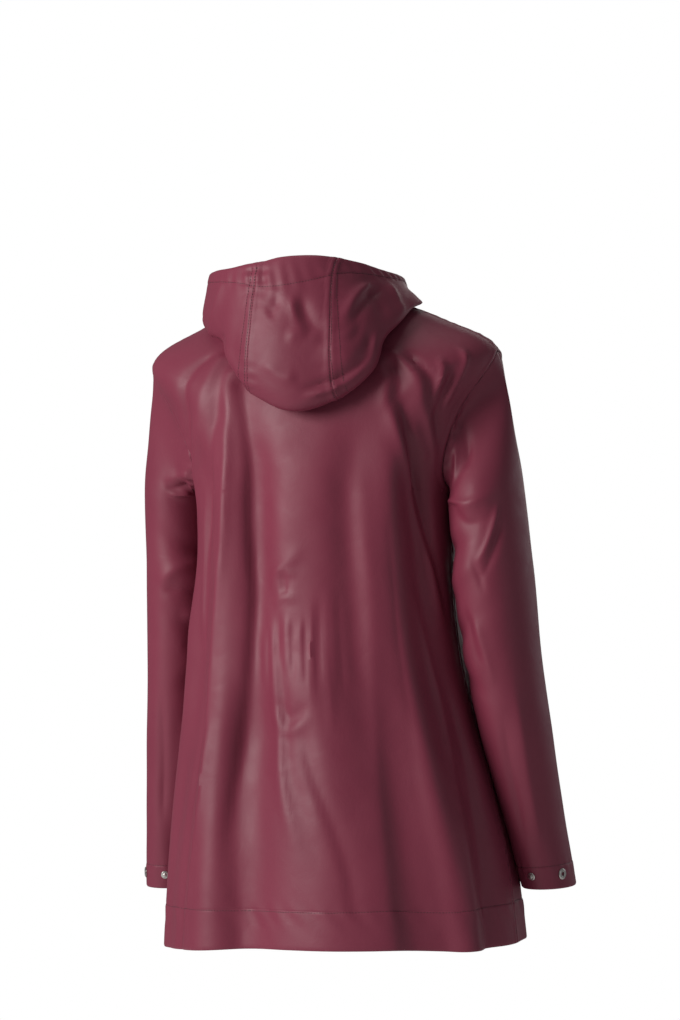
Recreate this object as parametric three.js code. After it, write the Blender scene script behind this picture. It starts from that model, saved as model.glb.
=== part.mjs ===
// Hooded A-line raincoat in coated cloth, worn, hood down. Millimetres, +Z up.
// The fronts face -Y, the back +Y, the left sleeve is on +X.
// Origin: midway between the two neck ends of the shoulder seams, where the shoulders carry the coat.
import * as THREE from "three";

// Driving sizes
const CLOTH = 1.6;
const HEM_CLOTH = 2.6;
const SEAM_GAP = 0.3;
const LAY_GAP = 0.3;
const HEM_DEPTH = 42;
const NECK_S = 0;
const SHOULDER_S = 95;
const UNDERARM_S = 225;
const HEM_S = 735;
const SQUARENESS = 0.92;
const PLACKET_HALF_WIDTH = 24;
const PLACKET_TOP_S = 6;
const PLACKET_LIFT = 0.8;
const PLACKET_SNAP_TOP_S = 40;
const PLACKET_SNAP_PITCH = 116;
const PLACKET_SNAP_COUNT = 6;

// Grid counts
const ARMHOLE_ROWS = 11;
const YOKE_ROWS = 4;
const SKIRT_ROWS = 12;
const BACK_COLUMNS = 32;
const FRONT_COLUMNS = 13;
const PLACKET_COLUMNS = 4;
const SNAP_SIDES = 12;
const SLEEVE_ROWS = 17;

// Body sections. s runs down the coat from the neck seam; half, back and front are its half sizes;
// zSide, zBack and zFront its heights; shift moves it towards +X, and rise lifts its right side
// and lowers its left.
const SECTIONS = [
  { s: 0, half: 78, back: 62, front: 88, zSide: 0, zBack: -14, zFront: -66, shift: 0, rise: 0 },
  { s: 45, half: 144, back: 92, front: 112, zSide: -28, zBack: -62, zFront: -104, shift: -2, rise: 3 },
  { s: 95, half: 209, back: 112, front: 122, zSide: -67, zBack: -108, zFront: -142, shift: -4, rise: 4 },
  { s: 140, half: 184, back: 121, front: 128, zSide: -129, zBack: -150, zFront: -172, shift: -5, rise: 3 },
  { s: 185, half: 164, back: 124, front: 132, zSide: -182, zBack: -190, zFront: -198, shift: -7, rise: 2 },
  { s: 225, half: 154, back: 124, front: 134, zSide: -222, zBack: -224, zFront: -226, shift: -6, rise: 0 },
  { s: 320, half: 153, back: 123, front: 134, zSide: -318, zBack: -318, zFront: -318, shift: -6, rise: 0 },
  { s: 400, half: 158, back: 126, front: 136, zSide: -398, zBack: -398, zFront: -398, shift: -7, rise: 0 },
  { s: 480, half: 169, back: 134, front: 143, zSide: -478, zBack: -478, zFront: -478, shift: -13, rise: 0 },
  { s: 560, half: 184, back: 145, front: 152, zSide: -559, zBack: -558, zFront: -561, shift: -19, rise: 1 },
  { s: 640, half: 198, back: 156, front: 161, zSide: -642, zBack: -640, zFront: -645, shift: -25, rise: 4 },
  { s: 735, half: 207, back: 166, front: 170, zSide: -750, zBack: -737, zFront: -756, shift: -29, rise: 8 },
];

// Body folds. angle 0 is the centre back and +90 the left side, in degrees;
// depth is positive for a ridge and negative for a trough, in millimetres.
const BODY_FOLDS = [
  { fromS: 100, toS: 735, fromAngle: 15, toAngle: 18, fromWidth: 9, toWidth: 10, depth: -11 },
  { fromS: 110, toS: 735, fromAngle: 31, toAngle: 36, fromWidth: 9, toWidth: 10, depth: 8 },
  { fromS: 120, toS: 600, fromAngle: 48, toAngle: 56, fromWidth: 8, toWidth: 9, depth: -5 },
  { fromS: 90, toS: 735, fromAngle: -20, toAngle: -34, fromWidth: 8, toWidth: 10, depth: -8 },
  { fromS: 90, toS: 735, fromAngle: -36, toAngle: -54, fromWidth: 8, toWidth: 9, depth: 9 },
  { fromS: 110, toS: 735, fromAngle: -54, toAngle: -74, fromWidth: 8, toWidth: 10, depth: -9 },
  { fromS: 380, toS: 735, fromAngle: -4, toAngle: -8, fromWidth: 10, toWidth: 11, depth: 5 },
  { fromS: 300, toS: 735, fromAngle: 68, toAngle: 74, fromWidth: 9, toWidth: 10, depth: 7 },
  { fromS: 260, toS: 735, fromAngle: 112, toAngle: 116, fromWidth: 9, toWidth: 10, depth: -9 },
  { fromS: 200, toS: 735, fromAngle: 136, toAngle: 138, fromWidth: 9, toWidth: 11, depth: 7 },
  { fromS: 240, toS: 735, fromAngle: -124, toAngle: -128, fromWidth: 8, toWidth: 9, depth: -9 },
  { fromS: 200, toS: 735, fromAngle: -144, toAngle: -148, fromWidth: 9, toWidth: 10, depth: 7 },
];
const FOLD_START_SHARE = 0.22;
const FOLD_END_SHARE = 0.3;

// Armhole: how far its back and front edges are scooped in from the side, in degrees.
const ARMHOLE = { backLeft: 27, backRight: 20, front: 34, rise: 0.62, round: 0.42 };

// Sleeve sections along its centreline, in the coat's frame for the left side.
// across is the half size away from the body, along the half size fore and aft, and tilt the
// section's slope in degrees. The head is the first share of a sleeve, between armhole and tube,
// and its cloth turns outwards below the underarm share of the armhole.
const SLEEVE_HEAD_SHARE = 0.3;
const UNDERARM_SHARE = 0.55;
const LEFT_SLEEVE = [
  { t: 0.0, x: 188, y: -36, z: -240, across: 42, along: 62, tilt: 8 },
  { t: 0.2, x: 190, y: -46, z: -328, across: 42, along: 60, tilt: 2 },
  { t: 0.4, x: 195, y: -56, z: -423, across: 40, along: 57, tilt: 0 },
  { t: 0.6, x: 203, y: -66, z: -517, across: 37, along: 53, tilt: 0 },
  { t: 0.8, x: 213, y: -78, z: -610, across: 33, along: 49, tilt: 0 },
  { t: 1.0, x: 221, y: -92, z: -703, across: 30, along: 45, tilt: 0 },
];
const RIGHT_SLEEVE = [
  { t: 0.0, x: 202, y: 6, z: -236, across: 43, along: 62, tilt: 10 },
  { t: 0.2, x: 209, y: 2, z: -320, across: 45, along: 61, tilt: 6 },
  { t: 0.4, x: 217, y: -6, z: -412, across: 44, along: 58, tilt: 8 },
  { t: 0.6, x: 231, y: -18, z: -504, across: 40, along: 54, tilt: 10 },
  { t: 0.8, x: 246, y: -34, z: -594, across: 34, along: 50, tilt: 9 },
  { t: 1.0, x: 261, y: -52, z: -681, across: 30, along: 46, tilt: 2 },
];

// Sleeve folds: at a place t along the sleeve and an angle round it, 0 facing out and 90 the back.
const SLEEVE_FOLDS = [
  { t: 0.12, lean: 0.1, angle: 150, spread: 55, length: 0.03, depth: -4 },
  { t: 0.2, lean: 0.12, angle: 140, spread: 50, length: 0.03, depth: 3 },
  { t: 0.34, lean: 0.14, angle: 150, spread: 50, length: 0.028, depth: -3 },
  { t: 0.44, lean: -0.12, angle: 160, spread: 45, length: 0.03, depth: -3 },
];

// Snap profiles from the centre out, as radius and height off the cloth.
const CAP_PROFILE = [[0, 0], [5.4, 0], [6, 0.6], [5.4, 1.5], [3, 2.1], [0, 2.2]];
const STUD_PROFILE = [[0, 0], [4.7, 0], [4.7, 0.6], [2.1, 0.9], [2.3, 2.6], [0, 2.9]];
const SOCKET_PROFILE = [[2.3, 0], [5.9, 0], [6.5, 0.7], [5.6, 1.7], [3.2, 1.9], [2.3, 1.2]];

// Cuff snaps: at t along the sleeve's tube and an angle round it, 0 facing out and 90 the back.
const CUFF_SNAPS = [
  { name: "cuff_stud", t: 0.963, angle: 101, profile: STUD_PROFILE },
  { name: "cuff_socket", t: 0.963, angle: 36, profile: SOCKET_PROFILE },
];

// Hood, as a profile at each angle round the neck, 0 at the centre back, + towards the left.
// foldZ is its lowest line over the body, lift its distance off the body there, drop and bulge
// the fullness at the fold, lean the fullness under the rim, and rim the free edge.
const HOOD_CENTRE = { x: 10, y: 14 };
const HOOD_STAND = 13;
const HOOD_NECK_RADIUS = 60;
const HOOD_SHAPE = { standEnd: 0.14, foldAt: 0.42, crestS: 5, crestLift: 8, fullness: 0.45 };
const HOOD_PROFILES = [
  { angle: -176, foldZ: -70, lift: 8, drop: 2, bulge: 6, lean: 3, rimR: 112, rimZ: -50 },
  { angle: -145, foldZ: -52, lift: 9, drop: 3, bulge: 8, lean: 4, rimR: 117, rimZ: -21 },
  { angle: -110, foldZ: -13, lift: 9, drop: 4, bulge: 6, lean: 2, rimR: 112, rimZ: 17 },
  { angle: -90, foldZ: -14, lift: 8, drop: 5, bulge: 6, lean: 3, rimR: 111, rimZ: 24 },
  { angle: -66, foldZ: -22, lift: 7, drop: 8, bulge: 10, lean: 5, rimR: 114, rimZ: 28 },
  { angle: -46, foldZ: -42, lift: 7, drop: 12, bulge: 20, lean: 11, rimR: 117, rimZ: 35 },
  { angle: -34, foldZ: -60, lift: 7, drop: 16, bulge: 30, lean: 17, rimR: 120, rimZ: 39 },
  { angle: -24, foldZ: -92, lift: 7, drop: 22, bulge: 34, lean: 20, rimR: 122, rimZ: 41 },
  { angle: -13, foldZ: -121, lift: 7, drop: 28, bulge: 42, lean: 24, rimR: 122, rimZ: 41 },
  { angle: -2, foldZ: -132, lift: 7, drop: 31, bulge: 46, lean: 26, rimR: 122, rimZ: 39 },
  { angle: 8, foldZ: -116, lift: 7, drop: 28, bulge: 42, lean: 24, rimR: 121, rimZ: 35 },
  { angle: 17, foldZ: -88, lift: 7, drop: 22, bulge: 32, lean: 20, rimR: 121, rimZ: 33 },
  { angle: 29, foldZ: -61, lift: 7, drop: 17, bulge: 21, lean: 12, rimR: 121, rimZ: 30 },
  { angle: 46, foldZ: -45, lift: 7, drop: 14, bulge: 15, lean: 8, rimR: 119, rimZ: 29 },
  { angle: 66, foldZ: -31, lift: 7, drop: 9, bulge: 8, lean: 4, rimR: 117, rimZ: 26 },
  { angle: 90, foldZ: -14, lift: 8, drop: 5, bulge: 6, lean: 2, rimR: 114, rimZ: 15 },
  { angle: 110, foldZ: -12, lift: 9, drop: 4, bulge: 8, lean: 3, rimR: 118, rimZ: -2 },
  { angle: 145, foldZ: -52, lift: 9, drop: 3, bulge: 8, lean: 4, rimR: 118, rimZ: -32 },
  { angle: 176, foldZ: -70, lift: 8, drop: 2, bulge: 6, lean: 3, rimR: 112, rimZ: -50 },
];
const HOOD_FRONT_ANGLE = 176;
// The centre panel's seams, as angles at the fold and at the rim. They turn above a share of the way up.
const HOOD_SEAM_TURN = 0.5;
const HOOD_LEFT_SEAM = { fold: 10, rim: 10 };
const HOOD_RIGHT_SEAM = { fold: -14.5, rim: -34 };
const HOOD_ROWS = 14;
const HOOD_CENTRE_COLUMNS = 7;
const HOOD_SIDE_COLUMNS = 14;

const material = (color, roughness, metalness) =>
  new THREE.MeshStandardMaterial({ color, roughness, metalness });
const COATED_CLOTH = material(0x5e2338, 0.42, 0);
const SNAP_METAL = material(0xb9b9bd, 0.3, 1);

const radians = THREE.MathUtils.degToRad;
const mix = (a, b, t) => a + (b - a) * t;
const clamp01 = (t) => Math.min(1, Math.max(0, t));
const ease = (t) => clamp01(t) ** 2 * (3 - 2 * clamp01(t));
const signedPower = (value, power) => Math.sign(value) * Math.abs(value) ** power;
const halfTurn = (angle) => ((((angle + 180) % 360) + 360) % 360) - 180;

// A smooth curve through one column of a table.
function readColumn(rows, key, column, at) {
  const last = rows.length - 2;
  let i = 0;
  while (i < last && rows[i + 1][key] < at) i += 1;
  const slope = (j) => {
    const a = rows[Math.max(0, j - 1)];
    const b = rows[Math.min(rows.length - 1, j + 1)];
    return (b[column] - a[column]) / (b[key] - a[key]);
  };
  const from = rows[i];
  const to = rows[i + 1];
  const span = to[key] - from[key];
  const t = clamp01((at - from[key]) / span);
  const h = t * t * (3 - 2 * t);
  const bend = span * (slope(i) * t * (1 - t) ** 2 - slope(i + 1) * t * t * (1 - t));
  return mix(from[column], to[column], h) + bend;
}

const bell = (x) => Math.exp(-x * x);

function foldHeight(angle, s) {
  let height = 0;
  for (const fold of BODY_FOLDS) {
    const t = (s - fold.fromS) / (fold.toS - fold.fromS);
    if (t <= 0 || t > 1) continue;
    const middle = mix(fold.fromAngle, fold.toAngle, t);
    const width = mix(fold.fromWidth, fold.toWidth, t);
    const runsToHem = fold.toS === HEM_S;
    const envelope = ease(t / FOLD_START_SHARE) * (runsToHem ? 1 : ease((1 - t) / FOLD_END_SHARE));
    height += fold.depth * envelope * bell(halfTurn(angle - middle) / width);
  }
  return height;
}

// A point of the body's outer surface. angle is in degrees: 0 centre back, +90 left side,
// 180 centre front.
function bodyPoint(angle, s) {
  const read = (column) => readColumn(SECTIONS, "s", column, s);
  const a = radians(angle);
  const cos = Math.cos(a);
  const sin = Math.sin(a);
  const atBack = cos > 0;
  const depth = read(atBack ? "back" : "front");
  const side = read("zSide");
  const z = mix(side, read(atBack ? "zBack" : "zFront"), cos * cos) - read("rise") * sin;
  const out = foldHeight(angle, s);
  return new THREE.Vector3(
    read("shift") + (read("half") + out) * signedPower(sin, SQUARENESS),
    (depth + out) * signedPower(cos, SQUARENESS),
    z,
  );
}

function bodyNormal(angle, s) {
  const da = 0.4;
  const ds = 0.8;
  const round = bodyPoint(angle + da, s).sub(bodyPoint(angle - da, s));
  const low = Math.max(NECK_S, s - ds);
  const down = bodyPoint(angle, Math.min(HEM_S, s + ds)).sub(bodyPoint(angle, low));
  return round.cross(down).normalize();
}

// Rows shared by the body's panels: yoke, armhole and skirt.
function bodyRows() {
  const rows = [];
  rows.push(NECK_S);
  for (let i = 0; i < YOKE_ROWS; i += 1) rows.push(mix(PLACKET_TOP_S, SHOULDER_S, i / YOKE_ROWS));
  for (let i = 0; i < ARMHOLE_ROWS; i += 1) rows.push(armholeS(i));
  for (let i = 0; i < SKIRT_ROWS; i += 1) {
    rows.push(mix(UNDERARM_S, HEM_S - HEM_DEPTH, i / (SKIRT_ROWS - 1)));
  }
  rows.push(HEM_S);
  return rows;
}

function armholeS(i) {
  return mix(SHOULDER_S, UNDERARM_S, (1 - Math.cos((Math.PI * i) / ARMHOLE_ROWS)) / 2);
}

// The angle of a panel's edge off the centre back: shoulder seam, armhole, then side seam.
function edgeAngle(s, atBack, side) {
  const t = (s - SHOULDER_S) / (UNDERARM_S - SHOULDER_S);
  if (t <= 0 || t >= 1) return 90;
  const { rise, round } = ARMHOLE;
  const peak = rise / (rise + round);
  const shape = (u) => u ** rise * (1 - u) ** round;
  const back = side > 0 ? ARMHOLE.backLeft : ARMHOLE.backRight;
  const scoop = (shape(t) / shape(peak)) * (atBack ? back : ARMHOLE.front);
  return atBack ? 90 - scoop : 90 + scoop;
}

// A wall from a grid of outer points and a grid of inner points, closed all round.
function wallGeometry(outer, inner) {
  const rows = outer.length;
  const columns = outer[0].length;
  const positions = [];
  const index = [];
  for (const side of [outer, inner]) {
    for (const row of side) for (const p of row) positions.push(p.x, p.y, p.z);
  }
  const o = (i, j) => i * columns + j;
  const n = (i, j) => rows * columns + o(i, j);
  const quad = (a, b, c, d) => index.push(a, b, c, a, c, d);
  const spans = columns - 1;
  for (let i = 0; i < rows - 1; i += 1) {
    for (let j = 0; j < spans; j += 1) {
      quad(o(i, j), o(i + 1, j), o(i + 1, j + 1), o(i, j + 1));
      quad(n(i, j), n(i, j + 1), n(i + 1, j + 1), n(i + 1, j));
    }
    quad(o(i, 0), n(i, 0), n(i + 1, 0), o(i + 1, 0));
    quad(o(i, spans), o(i + 1, spans), n(i + 1, spans), n(i, spans));
  }
  for (let j = 0; j < spans; j += 1) {
    quad(o(0, j), o(0, j + 1), n(0, j + 1), n(0, j));
    quad(o(rows - 1, j), n(rows - 1, j), n(rows - 1, j + 1), o(rows - 1, j + 1));
  }
  const geometry = new THREE.BufferGeometry();
  geometry.setAttribute("position", new THREE.Float32BufferAttribute(positions, 3));
  geometry.setIndex(index);
  geometry.computeVertexNormals();
  return geometry;
}

const moved = (point, direction, distance) => point.clone().addScaledVector(direction, distance);

function mesh(name, geometry, look) {
  const made = new THREE.Mesh(geometry, look);
  made.name = name;
  return made;
}

// A body panel between two edge functions of s, each giving an angle in degrees.
function bodyPanel(name, fromEdge, toEdge, columns) {
  const outer = [];
  const inner = [];
  for (const s of bodyRows()) {
    const from = fromEdge(s);
    const to = toEdge(s);
    const thickness = s > HEM_S - HEM_DEPTH - 1 ? HEM_CLOTH : CLOTH;
    const length = bodyPoint(from, s).distanceTo(bodyPoint(mix(from, to, 0.02), s)) / 0.02;
    const trim = (SEAM_GAP / 2 / length) * (to - from);
    const line = [];
    const under = [];
    for (let j = 0; j <= columns; j += 1) {
      const angle = columnAngle(from + trim, to - trim, [fromEdge(HEM_S), toEdge(HEM_S)], j / columns);
      const point = bodyPoint(angle, s);
      line.unshift(point);
      under.unshift(moved(point, bodyNormal(angle, s), -thickness));
    }
    outer.push(line);
    inner.push(under);
  }
  return mesh(name, wallGeometry(outer, inner), COATED_CLOTH);
}

// A column keeps its hem angle except near a scooped edge, where the columns crowd together.
function columnAngle(from, to, hem, share) {
  const whole = Math.abs(hem[1] - hem[0]) > 120;
  const reach = whole ? 0.4 : 1;
  const power = whole ? 2 : 1.8;
  const nearFrom = clamp01(1 - share / reach) ** power;
  const nearTo = clamp01(1 - (1 - share) / reach) ** power;
  return mix(hem[0], hem[1], share) + (from - hem[0]) * nearFrom + (to - hem[1]) * nearTo;
}

// A strip laid on the body between two rows, made from its points moved out.
function placket() {
  const outer = [];
  const inner = [];
  for (const s of bodyRows().slice(1)) {
    const reach = THREE.MathUtils.radToDeg(PLACKET_HALF_WIDTH / readColumn(SECTIONS, "s", "half", s));
    const line = [];
    const under = [];
    for (let j = 0; j <= PLACKET_COLUMNS; j += 1) {
      const angle = 180 + mix(-reach, reach, j / PLACKET_COLUMNS);
      const point = bodyPoint(angle, s);
      const normal = bodyNormal(angle, s);
      under.unshift(moved(point, normal, PLACKET_LIFT));
      line.unshift(moved(point, normal, PLACKET_LIFT + CLOTH));
    }
    outer.push(line);
    inner.push(under);
  }
  return mesh("front_placket", wallGeometry(outer, inner), COATED_CLOTH);
}

// A sleeve's point for one side: side is +1 for the left and -1 for the right.
function sleevePoint(table, side, angle, t) {
  const read = (column) => readColumn(table, "t", column, t);
  const a = radians(angle);
  let out = 0;
  for (const fold of SLEEVE_FOLDS) {
    const round = halfTurn(angle - fold.angle);
    const along = (t - fold.t - (fold.lean * round) / 180) / fold.length;
    out += fold.depth * bell(along) * bell(round / fold.spread);
  }
  const across = (read("across") + out) * Math.cos(a);
  const tilt = radians(read("tilt"));
  return new THREE.Vector3(
    side * (read("x") + across * Math.cos(tilt)),
    read("y") + (read("along") + out) * Math.sin(a),
    read("z") + across * Math.sin(tilt),
  );
}

// The armhole's points in order round the sleeve, with the body's normal and the way off the panel.
function armholeLoop(side) {
  const loop = [];
  const add = (s, atBack) => {
    const angle = side * edgeAngle(s, atBack, side);
    const point = bodyPoint(angle, s);
    const normal = bodyNormal(angle, s);
    loop.push({ point, normal, s, atBack });
  };
  for (let i = 0; i <= ARMHOLE_ROWS; i += 1) add(i === ARMHOLE_ROWS ? UNDERARM_S : armholeS(i), true);
  for (let i = ARMHOLE_ROWS - 1; i > 0; i -= 1) add(armholeS(i), false);
  return loop;
}

// A sleeve as its back and front halves.
function sleeve(name, table, side) {
  const loop = armholeLoop(side);
  const count = loop.length;
  const centre = loop.reduce((sum, entry) => sum.add(entry.point), new THREE.Vector3());
  centre.divideScalar(count);
  const outer = [];
  const inner = [];
  // The angle round the sleeve for each armhole point: 0 out, 90 back, 180 at the underarm, 270 front.
  const angles = loop.map((entry, k) => {
    const share = k <= ARMHOLE_ROWS ? k / ARMHOLE_ROWS : (count - k) / ARMHOLE_ROWS;
    return k <= ARMHOLE_ROWS ? 180 * share : 360 - 180 * share;
  });
  const underarmStart = mix(SHOULDER_S, UNDERARM_S, UNDERARM_SHARE);
  const first = loop.map((entry, k) => {
    const ahead = loop[(k + 1) % count].point;
    const behind = loop[(k + count - 1) % count].point;
    const off = ahead.clone().sub(behind).cross(entry.normal).normalize().multiplyScalar(side);
    const under = ease((entry.s - underarmStart) / (UNDERARM_S - underarmStart));
    return { point: moved(entry.point, off, SEAM_GAP / 2), normal: entry.normal, off, under };
  });
  const ways = first.map((f) => f.off.clone().lerp(f.normal, f.under));
  first.forEach((f, k) => {
    const near = (step) => ways[(k + step + count) % count];
    f.way = near(0).clone().multiplyScalar(3);
    [1, 2, 3].forEach((step) => f.way.add(near(step)).add(near(-step)));
    f.way.normalize();
  });
  outer.push(first.map((f) => f.point));
  inner.push(first.map((f) => moved(f.point, f.normal, -CLOTH)));
  for (let i = 1; i <= SLEEVE_ROWS; i += 1) {
    const along = i / SLEEVE_ROWS;
    const line = [];
    const under = [];
    for (let k = 0; k < count; k += 1) {
      line.push(sleeveSurface(table, side, angles[k], along, first[k]));
    }
    for (let k = 0; k < count; k += 1) {
      const ahead = line[(k + 1) % count];
      const behind = line[(k + count - 1) % count];
      const before = outer[i - 1][k];
      const next = sleeveSurface(table, side, angles[k], Math.min(1, along + 0.01), first[k]);
      const down = along < 1 ? next.sub(line[k]) : line[k].clone().sub(before);
      const normal = down.cross(ahead.clone().sub(behind)).normalize().multiplyScalar(side);
      const thickness = i >= SLEEVE_ROWS - 1 ? HEM_CLOTH : CLOTH;
      under.push(moved(line[k], normal, -thickness));
    }
    outer.push(line);
    inner.push(under);
  }
  return [
    sleeveHalf(`${name}_back`, outer, inner, 0, side),
    sleeveHalf(`${name}_front`, outer, inner, ARMHOLE_ROWS, side),
  ];
}

// Half of a sleeve, between the line down from the shoulder and the underarm seam.
function sleeveHalf(name, outer, inner, start, side) {
  const halves = [outer, inner].map((grid) =>
    grid.map((row) => {
      const line = [];
      for (let k = 0; k <= ARMHOLE_ROWS; k += 1) line.push(row[(start + k) % row.length].clone());
      const last = line.length - 1;
      const lead = line[1].clone().sub(line[0]).normalize();
      const tail = line[last - 1].clone().sub(line[last]).normalize();
      line[0].addScaledVector(lead, SEAM_GAP / 2);
      line[last].addScaledVector(tail, SEAM_GAP / 2);
      return side < 0 ? line.reverse() : line;
    }),
  );
  return mesh(name, wallGeometry(halves[0], halves[1]), COATED_CLOTH);
}

// Near the armhole the sleeve leaves the seam in the panel's own direction and curves into the tube.
function sleeveSurface(table, side, angle, along, start) {
  const share = along / SLEEVE_HEAD_SHARE;
  if (share >= 1) {
    return sleevePoint(table, side, angle, (along - SLEEVE_HEAD_SHARE) / (1 - SLEEVE_HEAD_SHARE));
  }
  const end = sleevePoint(table, side, angle, 0);
  const after = sleevePoint(table, side, angle, 0.03);
  const reach = end.distanceTo(start.point);
  const endSlope = after.sub(end).normalize().multiplyScalar(reach);
  const startSlope = start.way.clone().multiplyScalar(reach);
  const t = share;
  return start.point
    .clone()
    .multiplyScalar(2 * t ** 3 - 3 * t * t + 1)
    .addScaledVector(startSlope, t ** 3 - 2 * t * t + t)
    .addScaledVector(end, 3 * t * t - 2 * t ** 3)
    .addScaledVector(endSlope, t ** 3 - t * t);
}

// How far down the body its surface reaches a height, at an angle.
function bodyDropTo(angle, z) {
  let low = NECK_S;
  let high = UNDERARM_S;
  for (let i = 0; i < 24; i += 1) {
    const middle = (low + high) / 2;
    if (bodyPoint(angle, middle).z > z) low = middle;
    else high = middle;
  }
  return low;
}

// A hood point: v 0 at the neck seam, up over the stand, down to the fold, and up outside to 1 at the rim.
function hoodPoint(angle, v) {
  const read = (column) => readColumn(HOOD_PROFILES, "angle", column, angle);
  const { standEnd, foldAt, crestS, crestLift, fullness } = HOOD_SHAPE;
  const neck = bodyPoint(angle, NECK_S);
  const up = neck.clone().sub(bodyPoint(angle, NECK_S + 2)).normalize();
  const seam = moved(neck, up, SEAM_GAP);
  const lifted = (s, lift) => moved(bodyPoint(angle, s), bodyNormal(angle, s), lift);
  if (v < standEnd) {
    const t = v / standEnd;
    const over = moved(moved(neck, up, HOOD_STAND), bodyNormal(angle, NECK_S + 1), crestLift * 0.4);
    const crest = lifted(crestS, crestLift);
    return seam
      .multiplyScalar((1 - t) ** 2)
      .addScaledVector(over, 2 * t * (1 - t))
      .addScaledVector(crest, t * t);
  }
  const foldS = Math.max(crestS + 3, bodyDropTo(angle, read("foldZ")));
  if (v < foldAt) {
    const t = (v - standEnd) / (foldAt - standEnd);
    return lifted(mix(crestS, foldS, t), mix(crestLift, read("lift"), t));
  }
  const a = radians(angle);
  const outward = new THREE.Vector3(Math.sin(a), Math.cos(a), 0);
  const fold = lifted(foldS, read("lift"));
  const down = bodyPoint(angle, foldS + 1).sub(bodyPoint(angle, foldS - 1)).normalize();
  const low = moved(moved(fold, down, read("drop")), outward, read("bulge"));
  const rim = outward.clone().multiplyScalar(read("rimR"));
  rim.add(new THREE.Vector3(HOOD_CENTRE.x, HOOD_CENTRE.y, read("rimZ")));
  const high = moved(rim, outward, read("lean"));
  high.z -= (rim.z - fold.z) * fullness;
  const t = (v - foldAt) / (1 - foldAt);
  return fold
    .multiplyScalar((1 - t) ** 3)
    .addScaledVector(low, 3 * t * (1 - t) ** 2)
    .addScaledVector(high, 3 * t * t * (1 - t))
    .addScaledVector(rim, t ** 3);
}

function hoodNormal(angle, v) {
  const round = hoodPoint(angle + 0.5, v).sub(hoodPoint(angle - 0.5, v));
  const up = hoodPoint(angle, Math.min(1, v + 0.01)).sub(hoodPoint(angle, Math.max(0, v - 0.01)));
  return up.cross(round).normalize();
}

// The angle of a hood seam at v.
function hoodSeam(seam, v) {
  return mix(seam.fold, seam.rim, clamp01((v - HOOD_SEAM_TURN) / (1 - HOOD_SEAM_TURN)) ** 2);
}

// A hood panel between two edge functions of v, each giving an angle in degrees.
function hoodPanel(name, fromEdge, toEdge, columns) {
  const outer = [];
  const inner = [];
  const trim = THREE.MathUtils.radToDeg(SEAM_GAP / 2 / HOOD_NECK_RADIUS);
  for (let i = 0; i <= HOOD_ROWS; i += 1) {
    const v = 1 - i / HOOD_ROWS;
    const from = fromEdge(v);
    const to = toEdge(v);
    const line = [];
    const under = [];
    for (let j = 0; j <= columns; j += 1) {
      const angle = mix(from + trim, to - trim, j / columns);
      const point = hoodPoint(angle, v);
      line.unshift(point);
      under.unshift(moved(point, hoodNormal(angle, v), -CLOTH));
    }
    outer.push(line);
    inner.push(under);
  }
  return mesh(name, wallGeometry(outer, inner), COATED_CLOTH);
}

// A turned snap half standing on a point, its axis along the cloth's normal.
function snap(name, point, normal, profile) {
  const turned = [...profile];
  if (profile[0][0] > 0) turned.push(profile[0]);
  const outline = turned.map(([radius, height]) => new THREE.Vector2(radius, height));
  const geometry = new THREE.LatheGeometry(outline, SNAP_SIDES);
  const turn = new THREE.Quaternion().setFromUnitVectors(new THREE.Vector3(0, 1, 0), normal);
  geometry.applyQuaternion(turn);
  const seat = moved(point, normal, LAY_GAP);
  geometry.translate(seat.x, seat.y, seat.z);
  return mesh(name, geometry, SNAP_METAL);
}

function placketSnap(index) {
  const s = PLACKET_SNAP_TOP_S + index * PLACKET_SNAP_PITCH;
  const normal = bodyNormal(180, s);
  const top = moved(bodyPoint(180, s), normal, PLACKET_LIFT + CLOTH);
  return snap(`placket_snap_${index + 1}`, top, normal, CAP_PROFILE);
}

function cuffSnaps(suffix, table, side) {
  return CUFF_SNAPS.map(({ name, t, angle, profile }) => {
    const point = sleevePoint(table, side, angle, t);
    const round = sleevePoint(table, side, angle + 1, t).sub(sleevePoint(table, side, angle - 1, t));
    const down = sleevePoint(table, side, angle, t + 0.01).sub(sleevePoint(table, side, angle, t - 0.01));
    const normal = down.cross(round).normalize().multiplyScalar(side);
    return snap(`${name}_${suffix}`, point, normal, profile);
  });
}

const leftHoodSeam = (v) => hoodSeam(HOOD_LEFT_SEAM, v);
const rightHoodSeam = (v) => hoodSeam(HOOD_RIGHT_SEAM, v);

const coat = new THREE.Group();
coat.add(
  bodyPanel("back", (s) => -edgeAngle(s, true, -1), (s) => edgeAngle(s, true, 1), BACK_COLUMNS),
  bodyPanel("front_left", (s) => edgeAngle(s, false, 1), () => 180, FRONT_COLUMNS),
  bodyPanel("front_right", () => 180, (s) => 360 - edgeAngle(s, false, -1), FRONT_COLUMNS),
  ...sleeve("sleeve_left", LEFT_SLEEVE, 1),
  ...sleeve("sleeve_right", RIGHT_SLEEVE, -1),
  placket(),
  hoodPanel("hood_centre", rightHoodSeam, leftHoodSeam, HOOD_CENTRE_COLUMNS),
  hoodPanel("hood_left", leftHoodSeam, () => HOOD_FRONT_ANGLE, HOOD_SIDE_COLUMNS),
  hoodPanel("hood_right", () => -HOOD_FRONT_ANGLE, rightHoodSeam, HOOD_SIDE_COLUMNS),
  ...Array.from({ length: PLACKET_SNAP_COUNT }, (_, index) => placketSnap(index)),
  ...cuffSnaps("left", LEFT_SLEEVE, 1),
  ...cuffSnaps("right", RIGHT_SLEEVE, -1),
);

export default coat;
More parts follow.
